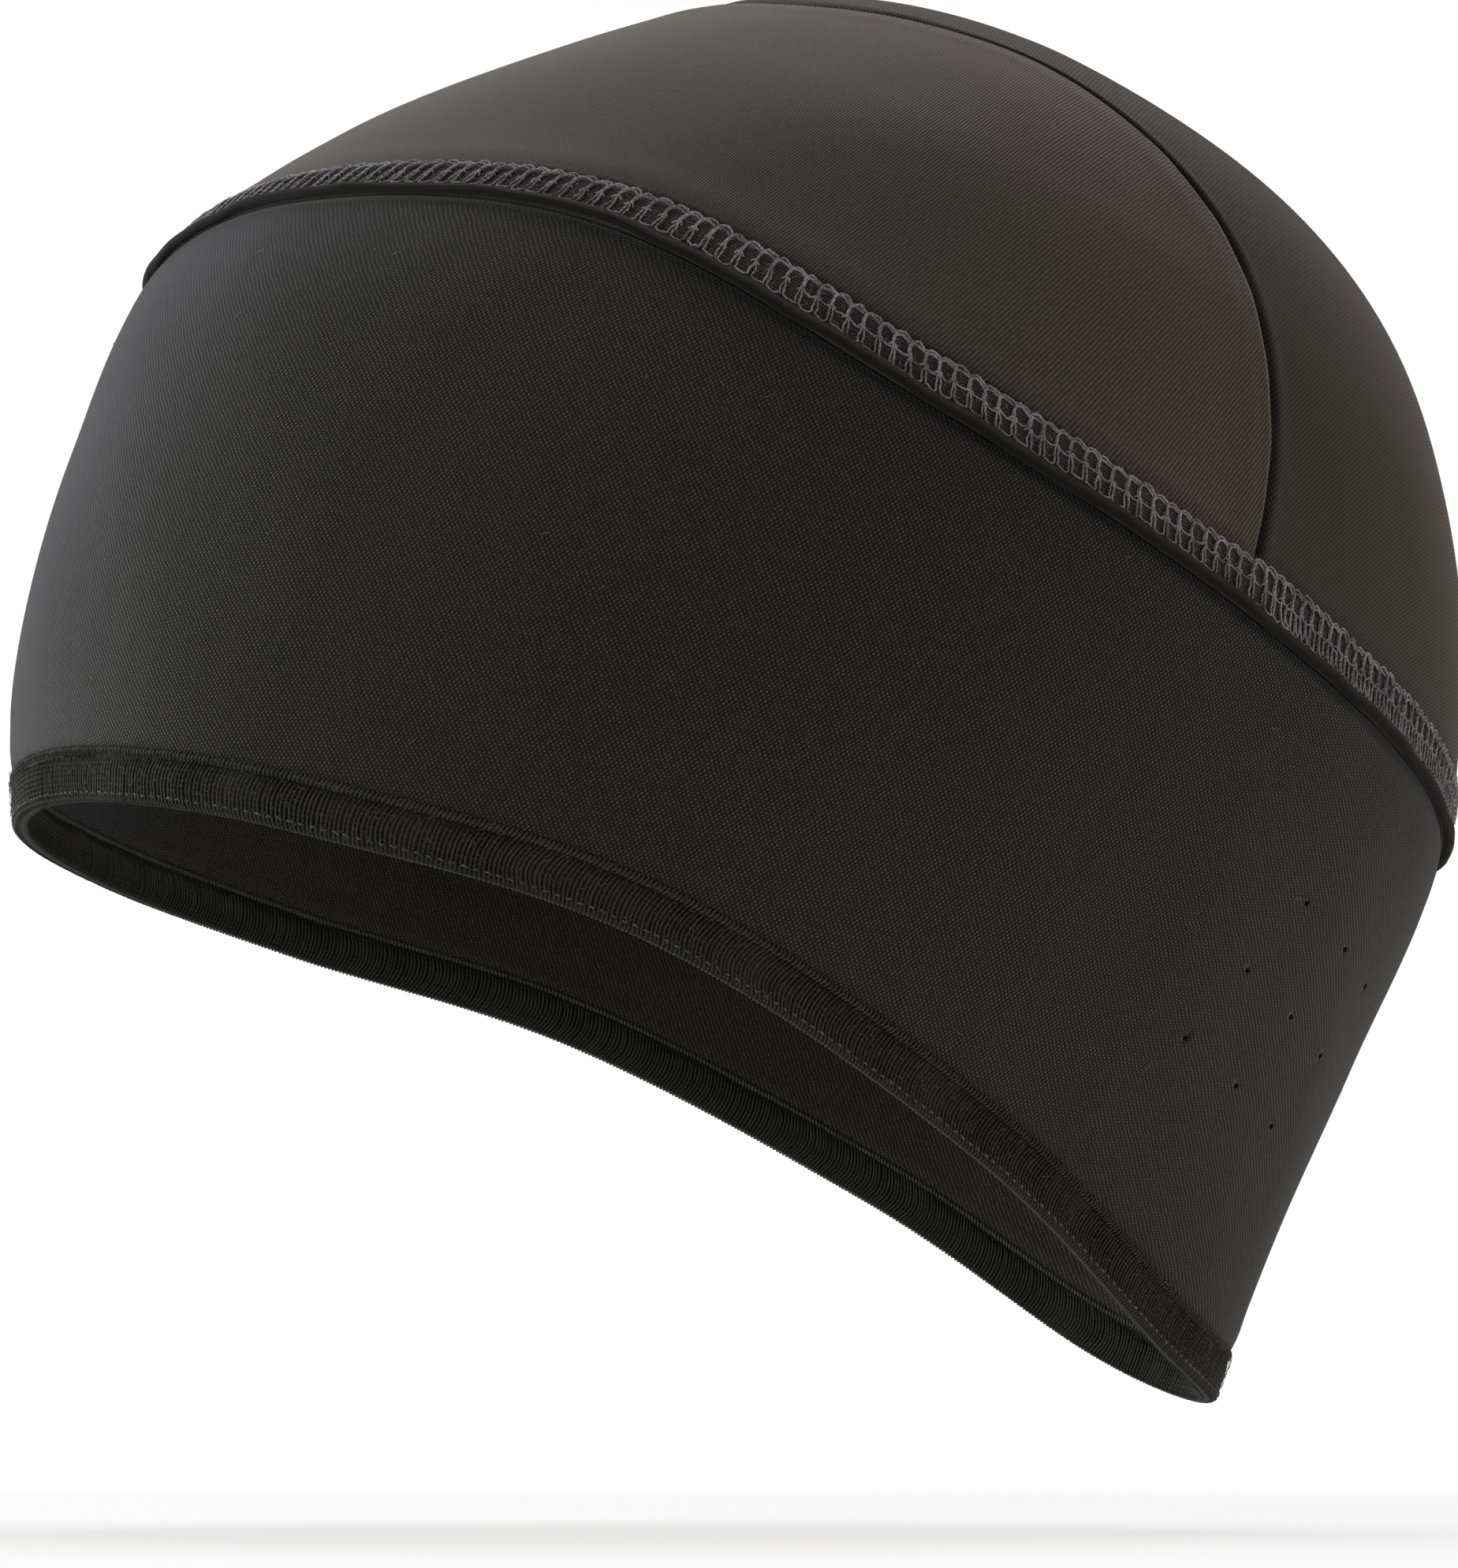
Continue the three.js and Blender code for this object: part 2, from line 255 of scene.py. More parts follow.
def seam_point(at, shift):
    """A point of the crown seam on the map: at runs from -1 on the right to 1 on the left side."""
    at = np.asarray(at, float)
    rows = np.concatenate([CROWN_SEAM[1:2] * [-1, 1], CROWN_SEAM])
    steps = np.arange(-1, len(CROWN_SEAM), dtype=float)

    def middle(where):
        step = np.abs(where) * (len(CROWN_SEAM) - 1)
        across = np.sign(where) * smooth(steps, rows[:, 0], step)
        return np.stack([across, smooth(steps, rows[:, 1], step)], -1)

    along = unit(middle(at + 0.01) - middle(at - 0.01))
    backwards = np.stack([-along[..., 1], along[..., 0]], -1)
    return middle(at) + backwards * shift / MAP_UNIT


def seam_end(shift):
    """How far along the crown seam it meets the bottom of the crown."""
    inside, outside = 0.0, 1.0
    for _ in range(HALVINGS):
        middle = (inside + outside) / 2
        bearing, height = from_map(seam_point(middle, shift))
        if height > crown_bottom(bearing):
            inside = middle
        else:
            outside = middle
    return inside


SEAM_CORNER = float(from_map(seam_point(seam_end(0), 0))[0])

# The cap tipped back as worn, with the highest point inside the crown at the origin
TIP = np.array([
    [1, 0, 0],
    [0, math.cos(WEAR_TILT), math.sin(WEAR_TILT)],
    [0, -math.sin(WEAR_TILT), math.cos(WEAR_TILT)],
])


def find_seat():
    """The highest point inside the crown, on the tipped cap."""
    along = np.linspace(-0.5, 0.5, SEAT_SAMPLES)
    bearing, height = from_map(np.stack([0 * along, along], -1))
    inside = shell_point(bearing, height, np.full(len(along), -CLOTH_WALL)) @ TIP.T
    return inside[inside[:, 2].argmax()] * [0, 1, 1]


SEAT = find_seat()


def to_frame(points):
    return (points @ TIP.T - SEAT) * MM


# Meshes

def add_map(mesh, name, uvs):
    """A uv layer from parts that each hold a uv for every corner."""
    layer = mesh.uv_layers.new(name=name)
    flat = np.concatenate([part.reshape(-1, 2) for part in uvs])
    layer.data.foreach_set("uv", flat.astype(np.float32).ravel())


def make_mesh(name, points, faces, uvs, material, replaces=(), smooth_shading=True):
    """A piece from points on the level cap, faces as arrays of corners, and a uv for every corner."""
    mesh = bpy.data.meshes.new(name)
    mesh.vertices.add(len(points))
    mesh.vertices.foreach_set("co", to_frame(points).astype(np.float32).ravel())
    corners = np.concatenate([f.ravel() for f in faces])
    sizes = np.concatenate([np.full(len(f), f.shape[1]) for f in faces])
    mesh.loops.add(len(corners))
    mesh.loops.foreach_set("vertex_index", corners.astype(np.int32))
    mesh.polygons.add(len(sizes))
    starts = np.concatenate([[0], np.cumsum(sizes)[:-1]])
    mesh.polygons.foreach_set("loop_start", starts.astype(np.int32))
    mesh.polygons.foreach_set("use_smooth", np.full(len(sizes), smooth_shading))
    add_map(mesh, "cloth_mm", uvs)
    mesh.update(calc_edges=True)
    mesh.validate()
    mesh.materials.append(material)
    piece = bpy.data.objects.new(name, mesh)
    bpy.context.scene.collection.objects.link(piece)
    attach(piece, BODY)
    if replaces:
        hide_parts(*replaces)
    return piece


def grid_faces(columns, rows, round_head=False, round_section=False):
    """Corners of the quads of a grid of points, and the column and row of each corner."""
    i = np.arange(columns if round_head else columns - 1)
    j = np.arange(rows if round_section else rows - 1)
    i, j = (a.ravel() for a in np.meshgrid(i, j, indexing="ij"))
    column = np.stack([i, i + 1, i + 1, i], -1)
    row = np.stack([j, j, j + 1, j + 1], -1)
    return (column % columns) * rows + row % rows, column, row


def ring(name, section, material, columns, node, foot):
    """A closed ring round the head. section(bearing) gives the height and proudness of its points, and
    foot(bearing) the height of the line that its map runs along."""
    bearing = np.arange(columns) * 360 / columns
    height, proud = np.broadcast_arrays(*section(bearing[:, None]))
    points = shell_point(np.broadcast_to(bearing[:, None], height.shape), height, proud)
    rows = height.shape[1]
    faces, column, row = grid_faces(columns, rows, round_head=True, round_section=True)
    closed = np.append(bearing, 360)
    lengths = np.linalg.norm(np.diff(cloth_point(closed, foot(closed)), axis=0), axis=1)
    along = np.concatenate([[0], np.cumsum(lengths)])
    around = np.linalg.norm(np.diff(np.concatenate([points, points[:, :1]], 1), axis=1), axis=2)
    up = np.concatenate([np.zeros((columns, 1)), np.cumsum(around, 1)], 1).mean(0)
    uv = np.stack([along[column], up[row]], -1)
    return make_mesh(name, points.reshape(-1, 3), [faces], [uv], material, [node])


def tubes(paths, normals, radii, sides=5):
    """Round threads along many paths at once: points, faces and uvs. paths is (threads, steps, 3)."""
    threads, steps = paths.shape[:2]
    along = unit(np.gradient(paths, axis=1))
    aside = unit(np.cross(along, normals))
    upward = np.cross(aside, along)
    angle = np.arange(sides) * TURN / sides
    radii = np.broadcast_to(radii, (threads, steps))[..., None, None]
    ring_points = aside[:, :, None] * np.cos(angle)[:, None] + upward[:, :, None] * np.sin(angle)[:, None]
    points = (paths[:, :, None] + ring_points * radii).reshape(-1, 3)
    base, step, side = grid_faces(steps, sides, round_section=True)
    offset = (np.arange(threads) * steps * sides)[:, None, None]
    faces = (base[None] + offset).reshape(-1, 4)
    lengths = np.linalg.norm(np.diff(paths, axis=1), axis=2)
    travelled = np.concatenate([np.zeros((threads, 1)), np.cumsum(lengths, 1)], 1)
    uv = np.stack([travelled[:, step], np.broadcast_to(side / sides, (threads, *side.shape))], -1)
    first = np.arange(sides)
    last = (steps - 1) * sides + np.arange(sides)[::-1]
    caps = (np.stack([first, last])[None] + offset).reshape(-1, sides)
    cap_uv = np.zeros((len(caps), sides, 2))
    return points, [faces, caps], [uv.reshape(-1, 4, 2), cap_uv]


def joined(parts):
    """One set of points, faces and uvs from several."""
    points, faces, uvs, start = [], [], [], 0
    for part_points, part_faces, part_uvs in parts:
        points.append(part_points)
        faces += [f + start for f in part_faces]
        uvs += part_uvs
        start += len(part_points)
    return np.concatenate(points), faces, uvs


# Materials

CLOTH_SPECULAR = 0.25
SHEEN_ROUGHNESS = 0.45


class Graph:
    """Short calls for a material's nodes."""

    def __init__(self, name):
        self.material = bpy.data.materials.new(name)
        self.material.use_nodes = True
        self.tree = self.material.node_tree
        self.shader = self.tree.nodes["Principled BSDF"]

    def put(self, socket, value):
        if isinstance(value, bpy.types.NodeSocket):
            self.tree.links.new(value, socket)
        else:
            socket.default_value = value

    def node(self, kind, **inputs):
        node = self.tree.nodes.new(kind)
        for name, value in inputs.items():
            self.put(node.inputs[name], value)
        return node

    def maths(self, operation, a, b=0.0):
        node = self.tree.nodes.new("ShaderNodeMath")
        node.operation = operation
        self.put(node.inputs[0], a)
        self.put(node.inputs[1], b)
        return node.outputs[0]

    def vector(self, operation, a, b=(0, 0, 0)):
        node = self.tree.nodes.new("ShaderNodeVectorMath")
        node.operation = operation
        self.put(node.inputs[0], a)
        self.put(node.inputs[1], b)
        return node.outputs["Value"] if operation == "LENGTH" else node.outputs[0]

    def noise(self, vector, scale, detail=2.0, roughness=0.5):
        node = self.tree.nodes.new("ShaderNodeTexNoise")
        self.put(node.inputs["Vector"], vector)
        self.put(node.inputs["Scale"], scale)
        self.put(node.inputs["Detail"], detail)
        self.put(node.inputs["Roughness"], roughness)
        return node

    def spread(self, value, low, high, to_low=0.0, to_high=1.0):
        node = self.tree.nodes.new("ShaderNodeMapRange")
        node.interpolation_type = "SMOOTHSTEP"
        for socket, number in zip(node.inputs, (value, low, high, to_low, to_high)):
            self.put(socket, number)
        return node.outputs[0]

    def mix(self, share_of_b, a, b):
        node = self.tree.nodes.new("ShaderNodeMix")
        node.data_type = "RGBA"
        self.put(node.inputs["Factor"], share_of_b)
        self.put(node.inputs[6], a)
        self.put(node.inputs[7], b)
        return node.outputs[2]

    def bump(self, height, distance, strength, normal=None):
        node = self.tree.nodes.new("ShaderNodeBump")
        self.put(node.inputs["Height"], height)
        self.put(node.inputs["Distance"], distance)
        self.put(node.inputs["Strength"], strength)
        if normal is not None:
            self.put(node.inputs["Normal"], normal)
        return node.outputs[0]

    def uv(self, layer="cloth_mm"):
        node = self.tree.nodes.new("ShaderNodeUVMap")
        node.uv_map = layer
        return node.outputs[0]

    def parts(self, vector):
        """The X, Y and Z of a vector."""
        return self.node("ShaderNodeSeparateXYZ", Vector=vector).outputs

    def wave(self, value, pitch):
        """A smooth wave from 0 to 1 that repeats at a pitch."""
        return self.spread(self.maths("SINE", self.maths("MULTIPLY", value, TURN / pitch)), -1.0, 1.0)

    def toned(self, colour, tone):
        """A colour times one number."""
        same = self.node("ShaderNodeCombineXYZ", X=tone, Y=tone, Z=tone)
        return self.vector("MULTIPLY", colour, same.outputs[0])

    def finish(self, colour, roughness, normal, sheen, sheen_tint):
        self.put(self.shader.inputs["Base Color"], colour)
        self.put(self.shader.inputs["Roughness"], roughness)
        self.put(self.shader.inputs["Normal"], normal)
        self.shader.inputs["Specular IOR Level"].default_value = CLOTH_SPECULAR
        self.shader.inputs["Sheen Weight"].default_value = sheen
        self.shader.inputs["Sheen Roughness"].default_value = SHEEN_ROUGHNESS
        self.shader.inputs["Sheen Tint"].default_value = (*sheen_tint, 1)
        return self.material


def grey(value, warmth):
    """A dark linear colour, warmed towards brown or cooled towards blue."""
    return (value * (1 + warmth), value, value * (1 - warmth), 1)


def scaled(g, uv, pace):
    return g.vector("MULTIPLY", uv, (pace, pace, 0))


def soft_noise(g, uv, size):
    return g.noise(scaled(g, uv, 1 / size), 1.0).outputs[0]


def shaken(g, uv, pace, reach):
    """The cloth's map, moved about a little so that no line of the knit is ruled."""
    wobble = g.noise(scaled(g, uv, pace), 1.0).outputs["Color"]
    moved = g.vector("SUBTRACT", wobble, (0.5, 0.5, 0.5))
    return g.vector("ADD", uv, g.vector("MULTIPLY", moved, (reach, reach, 0)))


# The band's knit, in millimetres: course and fleck pitch, and where the lip's shadow begins and ends below it
COURSE = 0.40
FLECK_PITCH = 0.64
FLECK_LEAN = -0.03
LIP_SHADOW = (0.4, 1.6)
LIP_SHADOW_TONE = 0.12
INSIDE_TONE = 1.9


def band_material():
    """Fine bird's-eye knit: staggered light flecks on a near-black ground."""
    g = Graph("band_knit")
    uv = g.uv()
    place = g.parts(shaken(g, uv, 0.35, 0.5))
    row = g.maths("DIVIDE", place["Y"], COURSE)
    slid = g.maths("SUBTRACT", place["X"], g.maths("MULTIPLY", row, FLECK_LEAN))
    column = g.maths("DIVIDE", slid, FLECK_PITCH)
    stagger = g.maths("MULTIPLY", row, 0.5)
    rising = g.maths("ADD", column, stagger)
    falling = g.maths("SUBTRACT", column, stagger)
    waves = [g.maths("COSINE", g.maths("MULTIPLY", way, TURN)) for way in (rising, falling)]
    fleck = g.spread(g.maths("ADD", *waves), -0.3, 1.8)
    cell = g.node("ShaderNodeCombineXYZ", X=g.maths("ROUND", rising), Y=g.maths("ROUND", falling), Z=0.0)
    chance = g.node("ShaderNodeTexWhiteNoise", Vector=cell.outputs[0]).outputs["Value"]
    lit = g.maths("MULTIPLY", fleck, g.spread(chance, 0.0, 1.0, 0.45, 1.0))
    ground = g.mix(soft_noise(g, uv, 38.0), grey(0.005, 0.1), grey(0.007, 0.07))
    colour = g.mix(lit, ground, grey(0.042, 0.10))
    seam = g.parts(g.uv("seam_mm"))
    under_lip = g.spread(seam["Y"], *LIP_SHADOW, LIP_SHADOW_TONE, 1.0)
    inside = g.spread(seam["X"], 0.0, 1.0, 1.0, INSIDE_TONE)
    colour = g.toned(colour, g.maths("MULTIPLY", under_lip, inside))
    relief = g.bump(fleck, 0.00012, 0.8)
    relief = g.bump(soft_noise(g, uv, 9.0), 0.0006, 0.25, relief)
    roughness = g.spread(fleck, 0.0, 1.0, 0.95, 0.62)
    return g.finish(colour, roughness, relief, 0.16, (0.9, 0.92, 1.0))


# The crown's knit, in millimetres: how far the lines' bend is rounded in the middle, and the pull of the seam
BEND_ROUNDING = 10.0
SEAM_PULL_PITCH = 0.7


def crown_material(name, lean, curve, spacing, ground, line, warmth, sheen, seam_shade):
    """Fine twill-like knit: thin raised lines that bend with the panel and are drawn in along its seam, with
    painted shade towards the seam and in its gathers.
    """
    g = Graph(name)
    uv = g.uv()
    place = g.parts(shaken(g, uv, 0.25, 0.2))
    x, y = place["X"], place["Y"]
    aside = g.maths("SQRT", g.maths("ADD", g.maths("MULTIPLY", x, x), BEND_ROUNDING ** 2))
    bent = g.maths("MULTIPLY", g.maths("MULTIPLY", aside, y), curve)
    across = g.maths("SUBTRACT", g.maths("ADD", y, g.maths("MULTIPLY", x, lean)), bent)
    rib = g.wave(across, spacing)
    base = g.mix(soft_noise(g, uv, 30.0), grey(ground * 0.9, warmth), grey(ground * 1.15, warmth * 0.8))
    grain = g.noise(scaled(g, uv, 2.2), 1.0, 3.0, 0.6).outputs[0]
    lit = g.maths("MULTIPLY", rib, g.spread(grain, 0.3, 0.75, 0.3, 1.0))
    colour = g.mix(lit, base, grey(line, warmth))
    seam = g.parts(g.uv("seam_mm"))
    from_seam = g.maths("ADD", seam["Y"], g.maths("MULTIPLY", grain, 1.2))
    pull = g.wave(seam["X"], SEAM_PULL_PITCH)
    # Painted shade: the gathers along the seam darken the colour in waves, and the same waves raise them in
    # the bump.
    gathers_and_shade = g.maths("MULTIPLY", pull, g.spread(from_seam, 1.6, 4.2, seam_shade, 0.0))
    # Painted shade: the cloth darkens towards the crown seam.
    near = g.spread(from_seam, 0.9, 4.0, 1.0 - seam_shade, 1.0)
    colour = g.toned(colour, g.maths("SUBTRACT", near, g.maths("MULTIPLY", gathers_and_shade, 0.35)))
    relief = g.bump(rib, 0.0001, 0.6)
    relief = g.bump(grain, 0.0001, 0.35, relief)
    relief = g.bump(gathers_and_shade, 0.0002, 0.8, relief)
    roughness = g.spread(rib, 0.0, 1.0, 0.9, 0.65)
    return g.finish(colour, roughness, relief, sheen, (1.0, 0.93, 0.85))


def edge_material(name, ground, light, warmth, ribs_per_mm, shades, sheen):
    """Folded cloth with fine ribs and a felted grain. shades: from, to and share of the tone of each painted
    shade, darkest below its from height.
    """
    g = Graph(name)
    uv = g.uv()
    up = g.parts(uv)["Y"]
    grain = g.noise(g.vector("MULTIPLY", uv, (1.6, 3.0, 0)), 1.0, 4.0, 0.65).outputs[0]
    turned = g.maths("ADD", g.maths("MULTIPLY", up, TURN * ribs_per_mm), g.maths("MULTIPLY", grain, 2.5))
    rib = g.spread(g.maths("SINE", turned), -1.0, 1.0)
    lit = g.maths("MULTIPLY", rib, g.spread(grain, 0.3, 0.7, 0.4, 1.0))
    colour = g.mix(lit, grey(ground, warmth), grey(light, warmth))
    # Painted shade: darker below each start, on the cloth that turns under.
    for start, end, tone in shades:
        shaded = g.vector("MULTIPLY", colour, (tone, tone, tone))
        colour = g.mix(g.spread(up, start, end), shaded, colour)
    relief = g.bump(rib, 0.0001, 0.6)
    relief = g.bump(grain, 0.00025, 0.5, relief)
    return g.finish(colour, 0.92, relief, sheen, (1.0, 0.95, 0.9))


THREAD_TWIST = 0.7


def thread_material(name, dark, light, tint, valley=0.62, start=1.0, sheen=0.3):
    """Twisted thread of two plies. valley is the tone of the painted shade between them, start the tone at the
    thread's start.
    """
    g = Graph(name)
    uv = g.parts(g.uv())
    winding = g.maths("ADD", g.maths("DIVIDE", uv["X"], THREAD_TWIST), g.maths("MULTIPLY", uv["Y"], 2.0))
    ply = g.wave(winding, 1.0)
    patch = g.noise(g.node("ShaderNodeNewGeometry").outputs["Position"], 420.0, 3.0, 0.6).outputs[0]
    tone = g.spread(patch, 0.3, 0.72, dark, light)
    # Painted shade in the groove between the plies.
    tone = g.maths("MULTIPLY", tone, g.spread(ply, 0.0, 1.0, valley, 1.0))
    tone = g.maths("MULTIPLY", tone, g.spread(uv["X"], 0.3, 1.5, start, 1.0))
    return g.finish(g.toned(tint, tone), 0.8, g.bump(ply, 0.00008, 0.8), sheen, (1.0, 1.0, 1.0))


band_cloth = band_material()
crown_front_cloth = crown_material(
    "crown_front_twill", lean=0.234, curve=0.0057, spacing=0.265, ground=0.0175, line=0.058,
    warmth=0.12, sheen=0.3, seam_shade=0.15)
crown_back_cloth = crown_material(
    "crown_back_twill", lean=0.105, curve=0.0, spacing=0.44, ground=0.0155, line=0.0215,
    warmth=0.08, sheen=0.15, seam_shade=0.55)
fold_cloth = edge_material(
    "fold_cloth", ground=0.014, light=0.055, warmth=0.16, ribs_per_mm=2.4,
    shades=[(3.3, 4.6, 0.42), (1.8, 3.0, 0.12)], sheen=0.04)
rim_cloth = edge_material(
    "rim_cloth", ground=0.004, light=0.008, warmth=0.07, ribs_per_mm=1.2,
    shades=[(2.2, 3.0, 0.45)], sheen=0.05)
ladder_thread = thread_material("ladder_thread", 0.12, 0.30, (1.00, 0.95, 1.10))
rim_thread = thread_material(
    "rim_thread", 0.018, 0.027, (1.05, 1.00, 0.92), valley=0.95, start=0.3, sheen=0.08)
bead_thread = thread_material(
    "bead_thread", 0.020, 0.034, (1.02, 1.00, 0.95), valley=0.95, sheen=0.12)
inner_thread = thread_material(
    "inner_thread", 0.026, 0.040, (1.03, 1.00, 0.92), valley=0.95, start=0.3, sheen=0.10)
inner_bead_thread = thread_material(
    "inner_bead_thread", 0.045, 0.075, (1.02, 1.00, 0.95), valley=0.95, sheen=0.12)
dash_thread = thread_material("dash_thread", 0.03, 0.08, (0.92, 1.00, 1.10))
hem_fibre = thread_material("hem_fibre", 0.02, 0.07, (1.00, 1.00, 0.92))
lint_fibre = thread_material("lint_fibre", 0.10, 0.32, (1.00, 0.98, 0.95))


# Band

BAND_COLUMNS = 480
BAND_OUTER_ROWS = 60
BAND_INNER_ROWS = 26
BAND_TUCK = 0.4
BAND_MIDDLE = 0.27

# One knitted course round the head: bearings, heights in millimetres, and its usual slope
COURSE_BEARINGS = np.array([-30.0, 0, 60, 120, 180, 210])
COURSE_HEIGHTS = np.array([6.0, 0, 24, 54, 84, 78])
COURSE_SLOPE = np.radians(16)
def band_ripple(bearing, height):
    """Soft unevenness of the worn cloth, and a slight draw-in along both of its seams."""
    turn = np.radians(bearing)
    wave = 0.22 * np.sin(3 * turn + height / 21) + 0.15 * np.sin(7 * turn - height / 13 + 1.3)
    wave = wave + 0.08 * np.sin(17 * turn + height / 7)
    from_top = join(bearing) - height
    from_hem = height - rim_top(bearing)
    fade = np.clip(np.minimum(from_top, from_hem) / 8, 0, 1)
    dip = 0.3 * np.exp(-((from_top - 0.2) / 1.0) ** 2)
    return wave * fade - dip - 0.25 * np.exp(-from_hem / 1.2) + 0.15 * np.exp(-((from_hem - 3) / 2.2) ** 2)


def band_section(bearing):
    """Height and proudness of the band's section, up the outside and down the inside."""
    low = climb(bearing, rim_top(bearing), -BAND_TUCK)
    up = np.concatenate([np.linspace(0, 1, BAND_OUTER_ROWS), np.linspace(1, 0, BAND_INNER_ROWS)])
    proud = np.concatenate([np.zeros(BAND_OUTER_ROWS), np.full(BAND_INNER_ROWS, -CLOTH_WALL)])
    return low + (join(bearing) - low) * up, np.broadcast_to(proud, (len(bearing), len(up)))


def course_rise(bearing):
    """Height of one knitted course: the courses climb towards the back of the head."""
    return smooth(COURSE_BEARINGS, COURSE_HEIGHTS, from_front(bearing))


def make_band():
    bearing = np.arange(BAND_COLUMNS + 1) * 360 / BAND_COLUMNS
    height, proud = band_section(bearing[:, None])
    turned = np.broadcast_to(bearing[:, None], height.shape)
    points = shell_point(turned, height, proud + band_ripple(turned, height))[:-1]
    rows = height.shape[1]
    faces, column, row = grid_faces(BAND_COLUMNS, rows, round_head=True, round_section=True)
    row = row % rows
    middle = cloth_point(bearing, np.full(BAND_COLUMNS + 1, BAND_MIDDLE * CAP_HEIGHT))
    along = np.concatenate([[0], np.cumsum(np.linalg.norm(np.diff(middle, axis=0), axis=1))])
    courses = (height - course_rise(bearing)[:, None]) * math.cos(COURSE_SLOPE)
    uv = np.stack([along[column], courses[column, row]], -1)
    band = make_mesh("band_cloth", points.reshape(-1, 3), [faces], [uv], band_cloth, ["band"])
    below = join(bearing)[:, None] - height
    is_inside = (row >= BAND_OUTER_ROWS).astype(float)
    add_map(band.data, "seam_mm", [np.stack([is_inside, below[column, row]], -1)])
    punch_vents(band)


def vent_rod(bearing, height):
    """A short rod through the band where a vent hole goes."""
    angle = np.arange(VENT_SIDES) * TURN / VENT_SIDES
    centre = cloth_point(bearing, height)
    normal = outward(bearing, height)
    aside = unit(np.cross(normal, [0, 0, 1.0]))
    upward = np.cross(aside, normal)
    circle = (aside * np.cos(angle)[:, None] + upward * np.sin(angle)[:, None]) * VENT_DIAMETER / 2
    reach = normal * VENT_CUT_LENGTH / 2
    points = np.concatenate([centre + circle + reach, centre + circle - reach])
    base = np.arange(VENT_SIDES)
    after = (base + 1) % VENT_SIDES
    walls = np.stack([base, after, after + VENT_SIDES, base + VENT_SIDES], -1)
    ends = np.stack([base[::-1], base + VENT_SIDES])
    return points, [walls, ends], [np.zeros((*walls.shape, 2)), np.zeros((*ends.shape, 2))]


def punch_vents(band):
    """Cut the vent holes through the band."""
    first = cloth_point(VENT_FIRST_BEARING, VENT_FIRST_HEIGHT)
    pitch = math.degrees(VENT_COLUMN_PITCH / np.linalg.norm(first))
    rods = []
    for side in (-1, 1):
        for row in range(VENT_ROWS):
            for column in range(VENT_COLUMNS):
                bearing = side * (VENT_FIRST_BEARING + column * pitch + row * VENT_LEAN)
                height = VENT_FIRST_HEIGHT + row * VENT_ROW_PITCH - column * VENT_DROP
                rods.append(vent_rod(bearing, height))
    points, faces, uvs = joined(rods)
    cutter = make_mesh("vent_cutter", points, faces, uvs, band_cloth, smooth_shading=False)
    cut = band.modifiers.new("vents", "BOOLEAN")
    cut.object = cutter
    cut.operation = "DIFFERENCE"
    cut.solver = "EXACT"
    bpy.context.view_layer.update()
    shape = bpy.data.meshes.new_from_object(band.evaluated_get(bpy.context.evaluated_depsgraph_get()))
    band.modifiers.clear()
    old = band.data
    band.data = shape
    shape.name = "band_cloth"
    bpy.data.meshes.remove(old)
    bpy.data.objects.remove(cutter)


# Rim hem

# Outline of the hem, columns: up as a share of its height, and proud in millimetres
RIM_OUTLINE = np.array([
    [0.07, -1.85],
    [0.01, -1.50],
    [0.00, -1.00],
    [0.01, -0.35],
    [0.06, 0.10],
    [0.13, 0.16],
    [0.20, 0.04],
    [0.30, 0.00],
    [0.50, 0.04],
    [0.72, 0.00],
    [0.80, -0.10],
    [0.87, -0.16],
    [0.91, -0.08],
    [0.96, -0.02],
    [1.01, -0.12],
    [1.02, -0.40],
    [1.00, -1.40],
    [0.90, -1.95],
    [0.80, -1.75],
    [0.50, -1.95],
    [0.20, -1.95],
])


RIM_COLUMNS = 560
RIM_OUTLINE_POINTS = 60


def make_rim():
    outline = through(RIM_OUTLINE, RIM_OUTLINE_POINTS, closed=True)

    def section(bearing):
        low, high = rim_bottom(bearing), rim_top(bearing)
        wave = 0.06 * np.sin(np.radians(bearing) * 23) + 0.05 * np.sin(np.radians(bearing) * 41 + 2)
        return low + (high - low) * (outline[:, 0] + 0.012 * wave), outline[:, 1] + wave

    ring("rim_cloth", section, rim_cloth, RIM_COLUMNS, "rim_hem", rim_bottom)


# Crown fold

# Outline of the fold, columns: up in millimetres above the bottom of the fold, and proud in millimetres
FOLD_OUTLINE = np.array([
    [0.15, -0.10],
    [-0.12, 0.30],
    [-0.34, 0.62],
    [-0.34, 1.00],
    [-0.08, 1.28],
    [0.42, 1.38],
    [0.92, 1.20],
    [1.30, 0.86],
    [1.65, 0.52],
    [2.40, 0.38],
    [3.80, 0.50],
    [5.20, 0.40],
    [5.80, 0.20],
    [6.15, -0.15],
    [6.20, -0.80],
    [6.20, -1.50],
    [4.80, -1.50],
    [2.40, -1.50],
    [0.05, -1.50],
    [0.05, -0.80],
])
FOLD_COLUMNS = 640
FOLD_OUTLINE_POINTS = 64
SEAM_LUMP = 0.40
SEAM_LUMP_WIDTH = 1.5


def fold_wave(bearing):
    """Small waves of the fold's lip."""
    turn = np.radians(bearing)
    return np.sin(turn * 31) * 0.10 + np.sin(turn * 13 + 1.0) * 0.14 + np.sin(turn * 57 + 2.0) * 0.06


def seam_lump(bearing):
    """The lump that the crown seam makes where it runs into the fold."""
    return SEAM_LUMP * np.exp(-((from_front(bearing) - SEAM_CORNER - 1.0) / SEAM_LUMP_WIDTH) ** 2)


